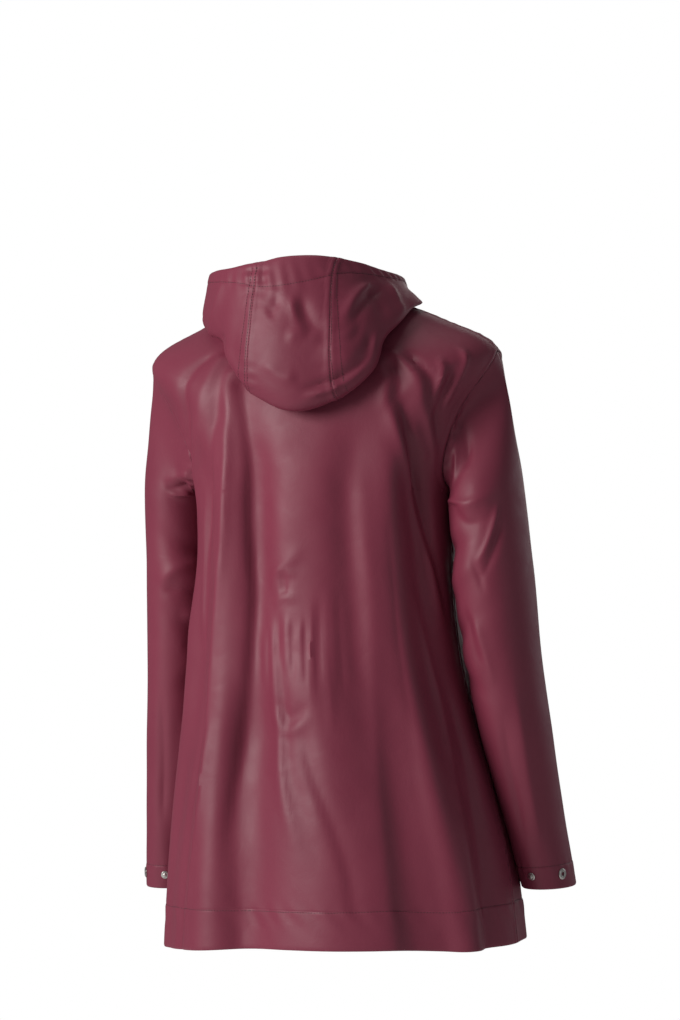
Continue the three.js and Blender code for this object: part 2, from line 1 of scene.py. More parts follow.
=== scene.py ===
"""Hooded A-line raincoat in coated cloth, worn with its hood down.

Each panel is a thin shell on its solid's form, worked out on a fine grid from the same named tables,
then creased, puckered and stitched along listed routes.
Lengths are millimetres until a mesh is made, and Blender's objects are in metres.
The fronts face -Y, the back +Y and the left sleeve is on +X.
"""
import logging
import math
from collections.abc import Sequence
from dataclasses import dataclass, field
from enum import Enum

import bmesh
import bpy
import numpy as np
from mathutils import Matrix, Vector
from mathutils.bvhtree import BVHTree
from mathutils.kdtree import KDTree


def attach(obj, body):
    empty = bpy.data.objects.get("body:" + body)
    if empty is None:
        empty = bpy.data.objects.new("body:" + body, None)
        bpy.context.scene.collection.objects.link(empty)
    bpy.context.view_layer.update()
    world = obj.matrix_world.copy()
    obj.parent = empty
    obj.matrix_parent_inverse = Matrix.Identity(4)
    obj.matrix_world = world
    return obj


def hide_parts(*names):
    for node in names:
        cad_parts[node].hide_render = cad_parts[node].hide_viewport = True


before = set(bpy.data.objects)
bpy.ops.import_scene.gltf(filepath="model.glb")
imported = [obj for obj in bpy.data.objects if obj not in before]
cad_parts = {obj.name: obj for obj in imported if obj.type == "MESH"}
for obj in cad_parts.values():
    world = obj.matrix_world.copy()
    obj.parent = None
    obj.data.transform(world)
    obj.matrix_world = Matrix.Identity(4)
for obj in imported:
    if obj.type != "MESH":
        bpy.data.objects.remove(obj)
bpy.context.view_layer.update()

log = logging.getLogger("raincoat")

Array = np.ndarray
Colour = tuple[float, float, float]
Route = tuple[tuple[float, float], ...]

MM = 0.001
# The solids lie 0.3 mm apart at seams; the cloth closes that to a hair, so no light shows through.
SEAM_GAP = 0.08
LAY_GAP = 0.3
CLOTH = 0.8
HEM_CLOTH = 1.5
PLACKET_CLOTH = 1.2

NECK_S = 0.0
SHOULDER_S = 95.0
UNDERARM_S = 225.0
HEM_S = 735.0
HEM_DEPTH = 42.0
CUFF_HEM_DEPTH = 27.0


def mix(a: Array | float, b: Array | float, t: Array | float) -> Array | float:
    """Blend from a to b."""
    return a + (b - a) * t


def ease(t: Array | float) -> Array:
    """Smooth step from 0 to 1."""
    held = np.clip(t, 0.0, 1.0)
    return held * held * (3 - 2 * held)


def bell(x: Array | float) -> Array:
    """Bell curve, 1 at the middle."""
    return np.exp(-np.square(x))


def signed_power(value: Array, power: float) -> Array:
    """Raise the size of a value to a power and keep its sign."""
    return np.sign(value) * np.abs(value) ** power


def unit(vectors: Array) -> Array:
    """Bring vectors to length 1."""
    length = np.linalg.norm(vectors, axis=-1, keepdims=True)
    return vectors / np.maximum(length, 1e-9)


def turned(angle: Array | float) -> Array:
    """Bring an angle in degrees to between -180 and 180."""
    return (np.asarray(angle) + 180.0) % 360.0 - 180.0


@dataclass(frozen=True)
class Table:
    """Rows of named columns, read as smooth curves against the first column."""

    names: tuple[str, ...]
    rows: tuple[tuple[float, ...], ...]

    def column(self, name: str) -> Array:
        """All the values of one column."""
        return np.array([row[self.names.index(name)] for row in self.rows], dtype=float)

    def read(self, name: str, at: Array) -> Array:
        """Read a column between its rows.

        Args:
            name: The column.
            at: Places along the first column.

        Returns:
            The value at each place.
        """
        key = self.column(self.names[0])
        value = self.column(name)
        last = len(key) - 1
        before = np.maximum(np.arange(last + 1) - 1, 0)
        after = np.minimum(np.arange(last + 1) + 1, last)
        slope = (value[after] - value[before]) / (key[after] - key[before])
        i = np.clip(np.searchsorted(key, at, side="left") - 1, 0, last - 1)
        span = key[i + 1] - key[i]
        t = np.clip((at - key[i]) / span, 0.0, 1.0)
        bend = span * (slope[i] * t * (1 - t) ** 2 - slope[i + 1] * t * t * (1 - t))
        return mix(value[i], value[i + 1], ease(t)) + bend


BODY_SECTIONS = Table(
    ("s", "half_width", "back", "front", "z_side", "z_back", "z_front", "shift", "rise"),
    (
        (0, 78, 62, 88, 0, -14, -66, 0, 0),
        (45, 144, 92, 112, -28, -62, -104, -2, 3),
        (95, 209, 112, 122, -67, -108, -142, -4, 4),
        (140, 184, 121, 128, -129, -150, -172, -5, 3),
        (185, 164, 124, 132, -182, -190, -198, -7, 2),
        (225, 154, 124, 134, -222, -224, -226, -6, 0),
        (320, 153, 123, 134, -318, -318, -318, -6, 0),
        (400, 158, 126, 136, -398, -398, -398, -7, 0),
        (480, 169, 134, 143, -478, -478, -478, -13, 0),
        (560, 184, 145, 152, -559, -558, -561, -19, 1),
        (640, 198, 156, 161, -642, -640, -645, -25, 4),
        (735, 207, 166, 170, -750, -737, -756, -29, 8),
    ),
)

BODY_FOLDS = Table(
    ("from_s", "to_s", "from_angle", "to_angle", "from_width", "to_width", "depth"),
    (
        (100, 735, 15, 18, 9, 10, -11),
        (110, 735, 31, 36, 9, 10, 8),
        (120, 600, 48, 56, 8, 9, -5),
        (90, 735, -20, -34, 8, 10, -8),
        (90, 735, -36, -54, 8, 9, 9),
        (110, 735, -54, -74, 8, 10, -9),
        (380, 735, -4, -8, 10, 11, 5),
        (300, 735, 68, 74, 9, 10, 7),
        (260, 735, 112, 116, 9, 10, -9),
        (200, 735, 136, 138, 9, 11, 7),
        (240, 735, -124, -128, 8, 9, -9),
        (200, 735, -144, -148, 9, 10, 7),
    ),
)

SLEEVE_COLUMNS = ("t", "x", "y", "z", "across", "along", "tilt")
LEFT_SLEEVE = Table(
    SLEEVE_COLUMNS,
    (
        (0.0, 188, -36, -240, 42, 62, 8),
        (0.2, 190, -46, -328, 42, 60, 2),
        (0.4, 195, -56, -423, 40, 57, 0),
        (0.6, 203, -66, -517, 37, 53, 0),
        (0.8, 213, -78, -610, 33, 49, 0),
        (1.0, 221, -92, -703, 30, 45, 0),
    ),
)
RIGHT_SLEEVE = Table(
    SLEEVE_COLUMNS,
    (
        (0.0, 202, 6, -236, 43, 62, 10),
        (0.2, 209, 2, -320, 45, 61, 6),
        (0.4, 217, -6, -412, 44, 58, 8),
        (0.6, 231, -18, -504, 40, 54, 10),
        (0.8, 246, -34, -594, 34, 50, 9),
        (1.0, 261, -52, -681, 30, 46, 2),
    ),
)
SLEEVE_FOLDS = Table(
    ("t", "lean", "angle", "spread", "length", "depth"),
    (
        (0.12, 0.1, 150, 55, 0.03, -4),
        (0.2, 0.12, 140, 50, 0.03, 3),
        (0.34, 0.14, 150, 50, 0.028, -3),
        (0.44, -0.12, 160, 45, 0.03, -3),
    ),
)

HOOD_PROFILES = Table(
    ("angle", "fold_z", "lift", "drop", "bulge", "lean", "rim_r", "rim_z"),
    (
        (-176, -70, 8, 2, 6, 3, 112, -50),
        (-145, -52, 9, 3, 8, 4, 117, -21),
        (-110, -13, 9, 4, 6, 2, 112, 17),
        (-90, -14, 8, 5, 6, 3, 111, 24),
        (-66, -22, 7, 8, 10, 5, 114, 28),
        (-46, -42, 7, 12, 20, 11, 117, 35),
        (-34, -60, 7, 16, 30, 17, 120, 39),
        (-24, -92, 7, 22, 34, 20, 122, 41),
        (-13, -121, 7, 28, 42, 24, 122, 41),
        (-2, -132, 7, 31, 46, 26, 122, 39),
        (8, -116, 7, 28, 42, 24, 121, 35),
        (17, -88, 7, 22, 32, 20, 121, 33),
        (29, -61, 7, 17, 21, 12, 121, 30),
        (46, -45, 7, 14, 15, 8, 119, 29),
        (66, -31, 7, 9, 8, 4, 117, 26),
        (90, -14, 8, 5, 6, 2, 114, 15),
        (110, -12, 9, 4, 8, 3, 118, -2),
        (145, -52, 9, 3, 8, 4, 118, -32),
        (176, -70, 8, 2, 6, 3, 112, -50),
    ),
)


@dataclass(frozen=True)
class BodyForm:
    """The coat's body as a surface over an angle, 0 at the centre back, and a way s down the coat."""

    sections: Table = BODY_SECTIONS
    folds: Table = BODY_FOLDS
    squareness: float = 0.92
    scoop_back_left: float = 27.0
    scoop_back_right: float = 20.0
    scoop_front: float = 34.0
    scoop_rise: float = 0.62
    scoop_round: float = 0.42

    def fold_height(self, angle: Array, s: Array) -> Array:
        """How far the largest folds stand off the plain form."""
        height = np.zeros(np.broadcast(angle, s).shape)
        for from_s, to_s, from_angle, to_angle, from_width, to_width, depth in self.folds.rows:
            t = (s - from_s) / (to_s - from_s)
            fade = 1.0 if to_s == HEM_S else ease((1 - t) / 0.3)
            envelope = np.where((t > 0) & (t <= 1), ease(t / 0.22) * fade, 0.0)
            off = turned(angle - mix(from_angle, to_angle, t)) / mix(from_width, to_width, t)
            height = height + depth * envelope * bell(off)
        return height

    def point(self, angle: Array, s: Array) -> Array:
        """Places on the outer face.

        Args:
            angle: Degrees round the coat, +90 at the left side.
            s: Millimetres down from the neck seam.

        Returns:
            An array with x, y and z as its last axis.
        """
        angle, s = np.broadcast_arrays(np.asarray(angle, float), np.asarray(s, float))
        a = np.radians(angle)
        cos, sin = np.cos(a), np.sin(a)
        at_back = cos > 0
        depth = np.where(at_back, self.sections.read("back", s), self.sections.read("front", s))
        low = np.where(at_back, self.sections.read("z_back", s), self.sections.read("z_front", s))
        z = mix(self.sections.read("z_side", s), low, cos * cos) - self.sections.read("rise", s) * sin
        out = self.fold_height(angle, s)
        half_width = self.sections.read("half_width", s) + out
        x = self.sections.read("shift", s) + half_width * signed_power(sin, self.squareness)
        y = (depth + out) * signed_power(cos, self.squareness)
        return np.stack([x, y, z], axis=-1)

    def normal(self, angle: Array, s: Array) -> Array:
        """The way out of the cloth at each place."""
        around = self.point(angle + 0.4, s) - self.point(angle - 0.4, s)
        down = self.point(angle, np.minimum(HEM_S, s + 0.8)) - self.point(angle, np.maximum(NECK_S, s - 0.8))
        return unit(np.cross(around, down))

    def edge_angle(self, s: Array, at_back: Array | bool, side: int) -> Array:
        """The angle of a panel's edge: shoulder seam, armhole, then side seam."""
        t = np.clip((np.asarray(s, float) - SHOULDER_S) / (UNDERARM_S - SHOULDER_S), 0.0, 1.0)
        peak = self.scoop_rise / (self.scoop_rise + self.scoop_round)
        top = peak**self.scoop_rise * (1 - peak) ** self.scoop_round
        shape = t**self.scoop_rise * (1 - t) ** self.scoop_round / top
        scoop_back = self.scoop_back_left if side > 0 else self.scoop_back_right
        return np.where(at_back, 90.0 - scoop_back * shape, 90.0 + self.scoop_front * shape)


def armhole_s(step: Array, steps: int) -> Array:
    """How far down the coat the armhole is at a step from the shoulder to the underarm."""
    return mix(SHOULDER_S, UNDERARM_S, (1 - np.cos(np.pi * np.asarray(step, float) / steps)) / 2)


@dataclass(frozen=True)
class SleeveForm:
    """A set-in sleeve as a surface over an angle round it and a share of the way along it.

    The angle is 0 facing out, 90 at the back, 180 against the body and 270 at the front.
    """

    body: BodyForm
    table: Table
    side: int
    folds: Table = SLEEVE_FOLDS
    cap_end: float = 0.3
    half_steps: int = 11
    smoothing: int = 3

    def tube(self, angle: Array, t: Array) -> Array:
        """Places on the sleeve below its head, t from 0 to 1."""
        out = np.zeros(np.broadcast(angle, t).shape)
        for fold_t, lean, fold_angle, spread, length, depth in self.folds.rows:
            around = turned(angle - fold_angle)
            along = (t - fold_t - lean * around / 180) / length
            out = out + depth * bell(along) * bell(around / spread)
        a = np.radians(angle)
        across = (self.table.read("across", t) + out) * np.cos(a)
        tilt = np.radians(self.table.read("tilt", t))
        x = self.side * (self.table.read("x", t) + across * np.cos(tilt))
        y = self.table.read("y", t) + (self.table.read("along", t) + out) * np.sin(a)
        z = self.table.read("z", t) + across * np.sin(tilt)
        return np.stack([x, y, z], axis=-1)

    def armhole(self, angle: Array) -> tuple[Array, Array, Array]:
        """The armhole seam at angles round the sleeve.

        Args:
            angle: Degrees round the sleeve.

        Returns:
            The seam's places, the body's normals there and their ways down the coat.
        """
        step = np.asarray(angle, float) % 360.0 / 180.0 * self.half_steps
        at_back = step <= self.half_steps
        s = armhole_s(np.where(at_back, step, 2 * self.half_steps - step), self.half_steps)
        body_angle = self.side * self.body.edge_angle(s, at_back, self.side)
        return self.body.point(body_angle, s), self.body.normal(body_angle, s), s

    def leaving(self, angle: Array) -> tuple[Array, Array]:
        """The ways in which the cloth leaves the seam: across it, and smoothed towards the sleeve."""
        count = 2 * self.half_steps
        corner = np.arange(count) * 360.0 / count
        points, normals, s = self.armhole(corner)
        around = np.roll(points, -1, axis=0) - np.roll(points, 1, axis=0)
        off = unit(np.cross(around, normals)) * self.side
        middle = mix(SHOULDER_S, UNDERARM_S, 0.55)
        under = ease((s - middle) / (0.45 * (UNDERARM_S - SHOULDER_S)))[:, None]
        way = mix(off, normals, under)
        smooth = 3 * way
        for step in range(1, self.smoothing + 1):
            smooth = smooth + np.roll(way, step, axis=0) + np.roll(way, -step, axis=0)
        place = (np.asarray(angle, float) % 360.0) / 360.0 * count
        return unit(round_trip(off, place)), unit(round_trip(unit(smooth), place))

    def point(self, angle: Array, along: Array) -> Array:
        """Places on the outer face, along from 0 at the armhole to 1 at the cuff's edge."""
        angle, along = np.broadcast_arrays(np.asarray(angle, float), np.asarray(along, float))
        tube = self.tube(angle, np.maximum(0.0, (along - self.cap_end) / (1 - self.cap_end)))
        seam, _, _ = self.armhole(angle)
        off, way = self.leaving(angle)
        start = seam + off * SEAM_GAP / 2
        end = self.tube(angle, np.zeros_like(along))
        reach = np.linalg.norm(end - start, axis=-1, keepdims=True)
        end_slope = unit(self.tube(angle, np.full_like(along, 0.03)) - end) * reach
        t = np.clip(along / self.cap_end, 0.0, 1.0)[..., None]
        head = start * (2 * t**3 - 3 * t * t + 1) + way * reach * (t**3 - 2 * t * t + t)
        head = head + end * (3 * t * t - 2 * t**3) + end_slope * (t**3 - t * t)
        return np.where(along[..., None] >= self.cap_end, tube, head)


def round_trip(values: Array, place: Array) -> Array:
    """Read closed rows of vectors between their corners, on a smooth curve."""
    count = len(values)
    i = np.floor(place).astype(int)
    t = (place - i)[..., None]
    p0, p1, p2, p3 = (values[(i + step) % count] for step in (-1, 0, 1, 2))
    return 0.5 * (2 * p1 + (p2 - p0) * t + (2 * p0 - 5 * p1 + 4 * p2 - p3) * t * t
                  + (3 * p1 - p0 - 3 * p2 + p3) * t**3)


@dataclass(frozen=True)
class HoodForm:
    """The hood as a surface over an angle round the neck and v from the neck seam to the free rim."""

    body: BodyForm
    profiles: Table = HOOD_PROFILES
    centre: tuple[float, float] = (10.0, 14.0)
    stand: float = 13.0
    stand_end: float = 0.14
    fold_at: float = 0.42
    crest_s: float = 5.0
    crest_lift: float = 8.0
    fullness: float = 0.45

    def drop_to(self, angle: Array, z: Array) -> Array:
        """How far down the coat its surface reaches a height."""
        low = np.full(np.shape(angle), NECK_S)
        high = np.full(np.shape(angle), UNDERARM_S)
        for _ in range(20):
            middle = (low + high) / 2
            above = self.body.point(angle, middle)[..., 2] > z
            low = np.where(above, middle, low)
            high = np.where(above, high, middle)
        return low

    def lifted(self, angle: Array, s: Array, lift: Array) -> Array:
        """Places at a distance off the body."""
        normal = self.body.normal(angle, s)
        return self.body.point(angle, s) + normal * np.asarray(lift)[..., None]

    def point(self, angle: Array, v: Array) -> Array:
        """Places on the outer face.

        Args:
            angle: Degrees round the neck.
            v: 0 at the neck seam and 1 at the rim.

        Returns:
            An array with x, y and z as its last axis.
        """
        angle, v = np.broadcast_arrays(np.asarray(angle, float), np.asarray(v, float))
        read = {name: self.profiles.read(name, angle) for name in self.profiles.names[1:]}
        zero = np.zeros_like(angle)
        fold_s = np.maximum(self.crest_s + 3, self.drop_to(angle, read["fold_z"]))
        stand = self.stand_part(angle, v / self.stand_end)
        t = np.clip((v - self.stand_end) / (self.fold_at - self.stand_end), 0, 1)
        lying = self.lifted(angle, mix(self.crest_s, fold_s, t), mix(self.crest_lift, read["lift"], t))
        fold = self.lifted(angle, fold_s, read["lift"])
        a = np.radians(angle)
        outward = np.stack([np.sin(a), np.cos(a), zero], axis=-1)
        down = unit(self.body.point(angle, fold_s + 1) - self.body.point(angle, fold_s - 1))
        low = fold + down * read["drop"][..., None] + outward * read["bulge"][..., None]
        rim = outward * read["rim_r"][..., None] + np.array([*self.centre, 0.0])
        rim[..., 2] = read["rim_z"]
        high = rim + outward * read["lean"][..., None]
        high[..., 2] -= (rim[..., 2] - fold[..., 2]) * self.fullness
        t = np.clip((v - self.fold_at) / (1 - self.fold_at), 0, 1)[..., None]
        pouch = fold * (1 - t) ** 3 + low * 3 * t * (1 - t) ** 2 + high * 3 * t * t * (1 - t) + rim * t**3
        place = v[..., None]
        return np.where(place < self.stand_end, stand, np.where(place < self.fold_at, lying, pouch))

    def stand_part(self, angle: Array, t: Array) -> Array:
        """Places from the neck seam up over the stand, t from 0 to 1."""
        zero = np.zeros_like(angle)
        neck = self.body.point(angle, zero)
        up = unit(neck - self.body.point(angle, zero + 2))
        over = neck + up * self.stand + self.body.normal(angle, zero + 1) * self.crest_lift * 0.4
        crest = self.lifted(angle, zero + self.crest_s, zero + self.crest_lift)
        t = t[..., None]
        return (neck + up * SEAM_GAP) * (1 - t) ** 2 + over * 2 * t * (1 - t) + crest * t * t


@dataclass(frozen=True)
class Crease:
    """A soft ridge or trough along a route on the cloth.

    The route's points are (degrees round, way along), width and depth are millimetres, and a trough
    has a negative depth. steep makes its left flank, seen along the route, narrower than its right.
    """

    width: float
    depth: float
    route: Route
    steep: float = 0.0
    open_start: bool = False
    open_end: bool = False

    def height(self, around: Array, along: Array, scale: tuple[float, float]) -> Array:
        """The crease's height over a grid.

        Args:
            around: Degrees round the piece.
            along: The way along it.
            scale: Millimetres for one degree, and for one unit of the way along.

        Returns:
            Millimetres off the plain form at each place.
        """
        path = smooth_route(np.array(self.route, dtype=float) * scale)
        steps = np.linalg.norm(np.diff(path, axis=0), axis=1)
        arc = np.concatenate([[0.0], np.cumsum(steps)])
        x, y = np.broadcast_arrays(around * scale[0], along * scale[1])
        best = np.full(x.shape, 1e9)
        signed = np.zeros(x.shape)
        share = np.zeros(x.shape)
        for (ax, ay), (bx, by), length, start in zip(path[:-1], path[1:], steps, arc[:-1]):
            dx, dy = (bx - ax) / length, (by - ay) / length
            t = np.clip((x - ax) * dx + (y - ay) * dy, 0.0, length)
            off_x, off_y = x - ax - t * dx, y - ay - t * dy
            distance = np.hypot(off_x, off_y)
            nearer = distance < best
            best = np.where(nearer, distance, best)
            signed = np.where(nearer, dx * off_y - dy * off_x, signed)
            share = np.where(nearer, (start + t) / arc[-1], share)
        width = self.width * np.where(signed > 0, 1 + self.steep, 1 - self.steep)
        fade = 1.0 if self.open_start else ease(share / 0.3)
        fade = fade * (1.0 if self.open_end else ease((1 - share) / 0.3))
        uneven = 1 + 0.18 * np.sin(share * 9.0 + path[0, 0] * 0.1)
        return self.depth * fade * uneven * np.exp(-np.abs(best / width) ** 1.7)


def smooth_route(corners: Array, steps: int = 5) -> Array:
    """Round the corners of a route with a curve through them."""
    if len(corners) < 3:
        return corners
    ends = np.vstack([2 * corners[0] - corners[1], corners, 2 * corners[-1] - corners[-2]])
    path = []
    for p0, p1, p2, p3 in zip(ends[:-3], ends[1:-2], ends[2:-1], ends[3:]):
        for t in np.arange(steps) / steps:
            path.append(0.5 * (2 * p1 + (p2 - p0) * t + (2 * p0 - 5 * p1 + 4 * p2 - p3) * t * t
                               + (3 * p1 - p0 - 3 * p2 + p3) * t**3))
    path.append(corners[-1])
    return np.array(path)


def drift(x: Array, y: Array, size: float, seed: float) -> Array:
    """Slow uneven waves between about -1 and 1 over two directions in millimetres."""
    u, v = x / size, y / size
    first = np.sin(2.1 * u + 1.7 * np.sin(0.9 * v + seed) + seed)
    second = np.sin(1.6 * v - 1.3 * np.sin(1.1 * u + 2 * seed) + 0.7 * seed)
    third = np.sin(2.9 * (u + 0.6 * v) + 1.9 * seed)
    return (first + second + 0.6 * third) / 2.6


def pucker(arc: Array, pitch: float, seed: float) -> Array:
    """Uneven little waves along a seam, of a usual pitch in millimetres."""
    wave = np.sin(2 * np.pi * arc / pitch + 1.6 * np.sin(arc / (2.7 * pitch) + seed))
    return wave * (0.6 + 0.4 * np.sin(arc / (1.9 * pitch) + 2 * seed))


@dataclass
class Seam:
    """A sewn line in space, for finding how near the cloth is to it."""

    points: Array
    band: float = 0.0
    pitch: float = 14.0
    pucker_height: float = 0.5
    pucker_reach: float = 9.0
    seed: float = 0.0
    groove: float = 1.3

    def __post_init__(self) -> None:
        """Index the line's points and their way along it."""
        steps = np.linalg.norm(np.diff(self.points, axis=0), axis=1)
        self.arc = np.concatenate([[0.0], np.cumsum(steps)])
        self.tree = KDTree(len(self.points))
        for index, place in enumerate(self.points):
            self.tree.insert(place, index)
        self.tree.balance()

    def near(self, places: Array) -> tuple[Array, Array]:
        """Distance from the seam and the way along it, for each place."""
        flat = places.reshape(-1, 3)
        found = [self.tree.find(Vector(place)) for place in flat]
        distance = np.array([hit[2] for hit in found]).reshape(places.shape[:-1])
        arc = self.arc[[hit[1] for hit in found]].reshape(places.shape[:-1])
        return distance, arc

    def relief(self, places: Array) -> Array:
        """The groove at the seam, the raised band of its turned edges and its puckers."""
        distance, arc = self.near(places)
        height = -self.groove * bell(distance / 1.0)
        if self.band:
            height = height + 0.75 * ease((self.band + 0.6 - distance) / 1.2)
            height = height - 0.6 * bell((distance - self.band + 1.0) / 0.9)
        middle = self.band if self.band else 3.0
        waves = pucker(arc, self.pitch, self.seed)
        return height + self.pucker_height * waves * bell((distance - middle) / self.pucker_reach)


class Face(Enum):
    """Which material slot a face of a cloth wall takes."""

    OUTER = 0
    BACKING = 1


@dataclass
class Wall:
    """A thin closed cloth wall from a grid of outer places."""

    name: str
    outer: Array
    normals: Array
    thickness: Array
    wrap: bool = False
    piece: bpy.types.Object = field(init=False)
    lookup: BVHTree = field(init=False)

    @classmethod
    def sewn(cls, name: str, base: Array, relief: Array, thickness: Array | float, flip: bool,
             wrap: bool = False) -> "Wall":
        """Make a wall from a plain grid and its relief.

        Args:
            name: The piece's name.
            base: The plain grid, rows by columns by x, y and z.
            relief: Millimetres off the plain form at each place.
            thickness: The wall's thickness, over the grid or for all of it.
            flip: Whether the face lies to the left of the columns' way, seen down the rows.
            wrap: Whether the last column joins the first.

        Returns:
            The wall, with its mesh made.
        """
        outer = base + grid_normals(base, flip, wrap) * relief[..., None]
        thick = np.broadcast_to(np.asarray(thickness, float), outer.shape[:2])
        wall = cls(name, outer, grid_normals(outer, flip, wrap), thick, wrap)
        wall.build(flip)
        return wall

    def build(self, flip: bool) -> None:
        """Make the closed mesh and the lookup on its outer face."""
        rows, columns = self.outer.shape[:2]
        inner = self.outer - self.normals * self.thickness[..., None]
        vertices = np.concatenate([self.outer.reshape(-1, 3), inner.reshape(-1, 3)])
        spans = columns if self.wrap else columns - 1
        i, j = np.meshgrid(np.arange(rows - 1), np.arange(spans), indexing="ij")
        here = (i * columns + j).ravel()
        beside = (i * columns + (j + 1) % columns).ravel()
        top = np.stack([here, beside, beside + columns, here + columns], axis=1)
        if flip:
            top = top[:, ::-1]
        under = top[:, ::-1] + rows * columns
        rims = rim_quads(rows, columns, self.wrap, flip)
        faces = np.concatenate([top, rims, under])
        places = [Vector(place) for place in self.outer.reshape(-1, 3)]
        self.lookup = BVHTree.FromPolygons(places, top.tolist())
        self.piece = cloth_object(self.name, vertices, faces)
        slots = np.full(len(faces), Face.OUTER.value, dtype=np.int32)
        slots[len(top) + len(rims):] = Face.BACKING.value
        self.piece.data.polygons.foreach_set("material_index", slots)

    def seat(self, place: Array) -> tuple[Vector, Vector]:
        """The nearest place of the outer face, and the way out of it."""
        location, normal, _, _ = self.lookup.find_nearest(Vector(place))
        return location, normal


def grid_normals(grid: Array, flip: bool, wrap: bool) -> Array:
    """The way out of the cloth at each place of a grid."""
    if wrap:
        padded = np.concatenate([grid[:, -1:], grid, grid[:, :1]], axis=1)
        around = (padded[:, 2:] - padded[:, :-2]) / 2
    else:
        around = np.gradient(grid, axis=1)
    out = unit(np.cross(around, np.gradient(grid, axis=0)))
    return -out if flip else out


def rim_quads(rows: int, columns: int, wrap: bool, flip: bool) -> Array:
    """Quads that close a wall along its edges."""
    half = rows * columns
    quads: list[tuple[int, int, int, int]] = []
    for j in range(columns if wrap else columns - 1):
        a, b = j, (j + 1) % columns
        quads.append((b, a, a + half, b + half))
        low = (rows - 1) * columns
        quads.append((low + a, low + b, low + b + half, low + a + half))
    if not wrap:
        for i in range(rows - 1):
            a, b = i * columns, (i + 1) * columns
            quads.append((a, b, b + half, a + half))
            a, b = a + columns - 1, b + columns - 1
            quads.append((b, a, a + half, b + half))
    made = np.array(quads)
    return made[:, ::-1] if flip else made


def cloth_object(name: str, vertices: Array, faces: Array) -> bpy.types.Object:
    """Make a smooth object in the scene from places in millimetres."""
    data = bpy.data.meshes.new(name)
    data.from_pydata((vertices * MM).tolist(), [], faces.tolist())
    data.polygons.foreach_set("use_smooth", np.ones(len(faces), dtype=bool))
    data.set_sharp_from_angle(angle=math.radians(50))
    data.update()
    made = bpy.data.objects.new(name, data)
    bpy.context.scene.collection.objects.link(made)
    return made


@dataclass
class Stitching:
    """Lockstitches seated on the cloth, gathered into one mesh."""

    name: str
    length: float = 2.7
    gap: float = 0.7
    half_width: float = 0.36
    height: float = 0.34
    places: list[Array] = field(default_factory=list)

    def sew(self, wall: Wall, line: Array) -> None:
        """Sew along a line that lies on or near a wall.

        Args:
            wall: The cloth that carries the stitches.
            line: The line's places, in order.
        """
        steps = np.linalg.norm(np.diff(line, axis=0), axis=1)
        arc = np.concatenate([[0.0], np.cumsum(steps)])
        pitch = self.length + self.gap
        for start in np.arange(pitch / 2, arc[-1] - self.length, pitch):
            ends = [np.array([np.interp(at, arc, line[:, k]) for k in range(3)])
                    for at in (start, start + self.length)]
            (a, out_a), (b, out_b) = (wall.seat(end) for end in ends)
            self.places.append(self.stitch(np.array(a), np.array(b), np.array(out_a + out_b)))

    def stitch(self, a: Array, b: Array, out: Array) -> Array:
        """One stitch as rings of places from its first hole to its second."""
        along = b - a
        out = unit(out)
        side = unit(np.cross(along, out)) * self.half_width
        rings = []
        for share, rise, wide in ((0.0, -0.3, 0.5), (0.14, 0.6, 0.9), (0.5, 1.0, 1.0), (0.86, 0.6, 0.9),
                                  (1.0, -0.3, 0.5)):
            middle = a + along * share + out * (rise * self.height - 0.12)
            lift = out * self.height * 0.5
            rings.append([middle - side * wide - lift, middle - side * wide * 0.7 + lift * wide,
                          middle + side * wide * 0.7 + lift * wide, middle + side * wide - lift])
        return np.array(rings)

    def build(self) -> bpy.types.Object:
        """Join every stitch into one object."""
        rings, corners = 5, 4
        base = []
        for i in range(rings - 1):
            for j in range(corners):
                k = (j + 1) % corners
                base.append((i * corners + j, i * corners + k, (i + 1) * corners + k, (i + 1) * corners + j))
        base.append(tuple(range(corners))[::-1])
        base.append(tuple((rings - 1) * corners + j for j in range(corners)))
        one = np.array(base)
        vertices = np.concatenate([places.reshape(-1, 3) for places in self.places])
        offsets = np.arange(len(self.places)) * rings * corners
        faces = (one[None] + offsets[:, None, None]).reshape(-1, corners)
        return cloth_object(self.name, vertices, faces)


class NodeTree:
    """Adds nodes to a tree and joins them."""

    def __init__(self, tree: bpy.types.NodeTree) -> None:
        """Start on an empty tree."""
        self.tree = tree
        tree.nodes.clear()

    def add(self, kind: str, settings: dict[str, object] | None = None, **sockets: object) -> bpy.types.Node:
        """Add a node.

        Args:
            kind: Blender's name for the node.
            settings: The node's own properties.
            **sockets: Values or sockets for its inputs, with _ for a space.

        Returns:
            The node.
        """
        node = self.tree.nodes.new(kind)
        for name, value in (settings or {}).items():
            setattr(node, name, value)
        for name, value in sockets.items():
            self.set(node, name.replace("_", " "), value)
        return node

    def set(self, node: bpy.types.Node, name: str | int, value: object) -> None:
        """Give one input a value or join a socket to it."""
        if isinstance(value, bpy.types.NodeSocket):
            self.tree.links.new(value, node.inputs[name])
        else:
            node.inputs[name].default_value = value


def group_tree(name: str, inputs: Sequence[tuple[str, str, object]],
               outputs: Sequence[tuple[str, str]]) -> tuple[NodeTree, bpy.types.Node, bpy.types.Node]:
    """Start a shader node group.

    Args:
        name: The group's name.
        inputs: Name, socket type and default of each input.
        outputs: Name and socket type of each output.

    Returns:
        The tree's builder, its input node and its output node.
    """
    tree = bpy.data.node_groups.new(name, "ShaderNodeTree")
    for label, kind, default in inputs:
        socket = tree.interface.new_socket(label, in_out="INPUT", socket_type=kind)
        if default is not None:
            socket.default_value = default
    for label, kind in outputs:
        tree.interface.new_socket(label, in_out="OUTPUT", socket_type=kind)
    nodes = NodeTree(tree)
    return nodes, nodes.add("NodeGroupInput"), nodes.add("NodeGroupOutput")


FLOAT, VECTOR, COLOUR = "NodeSocketFloat", "NodeSocketVector", "NodeSocketColor"


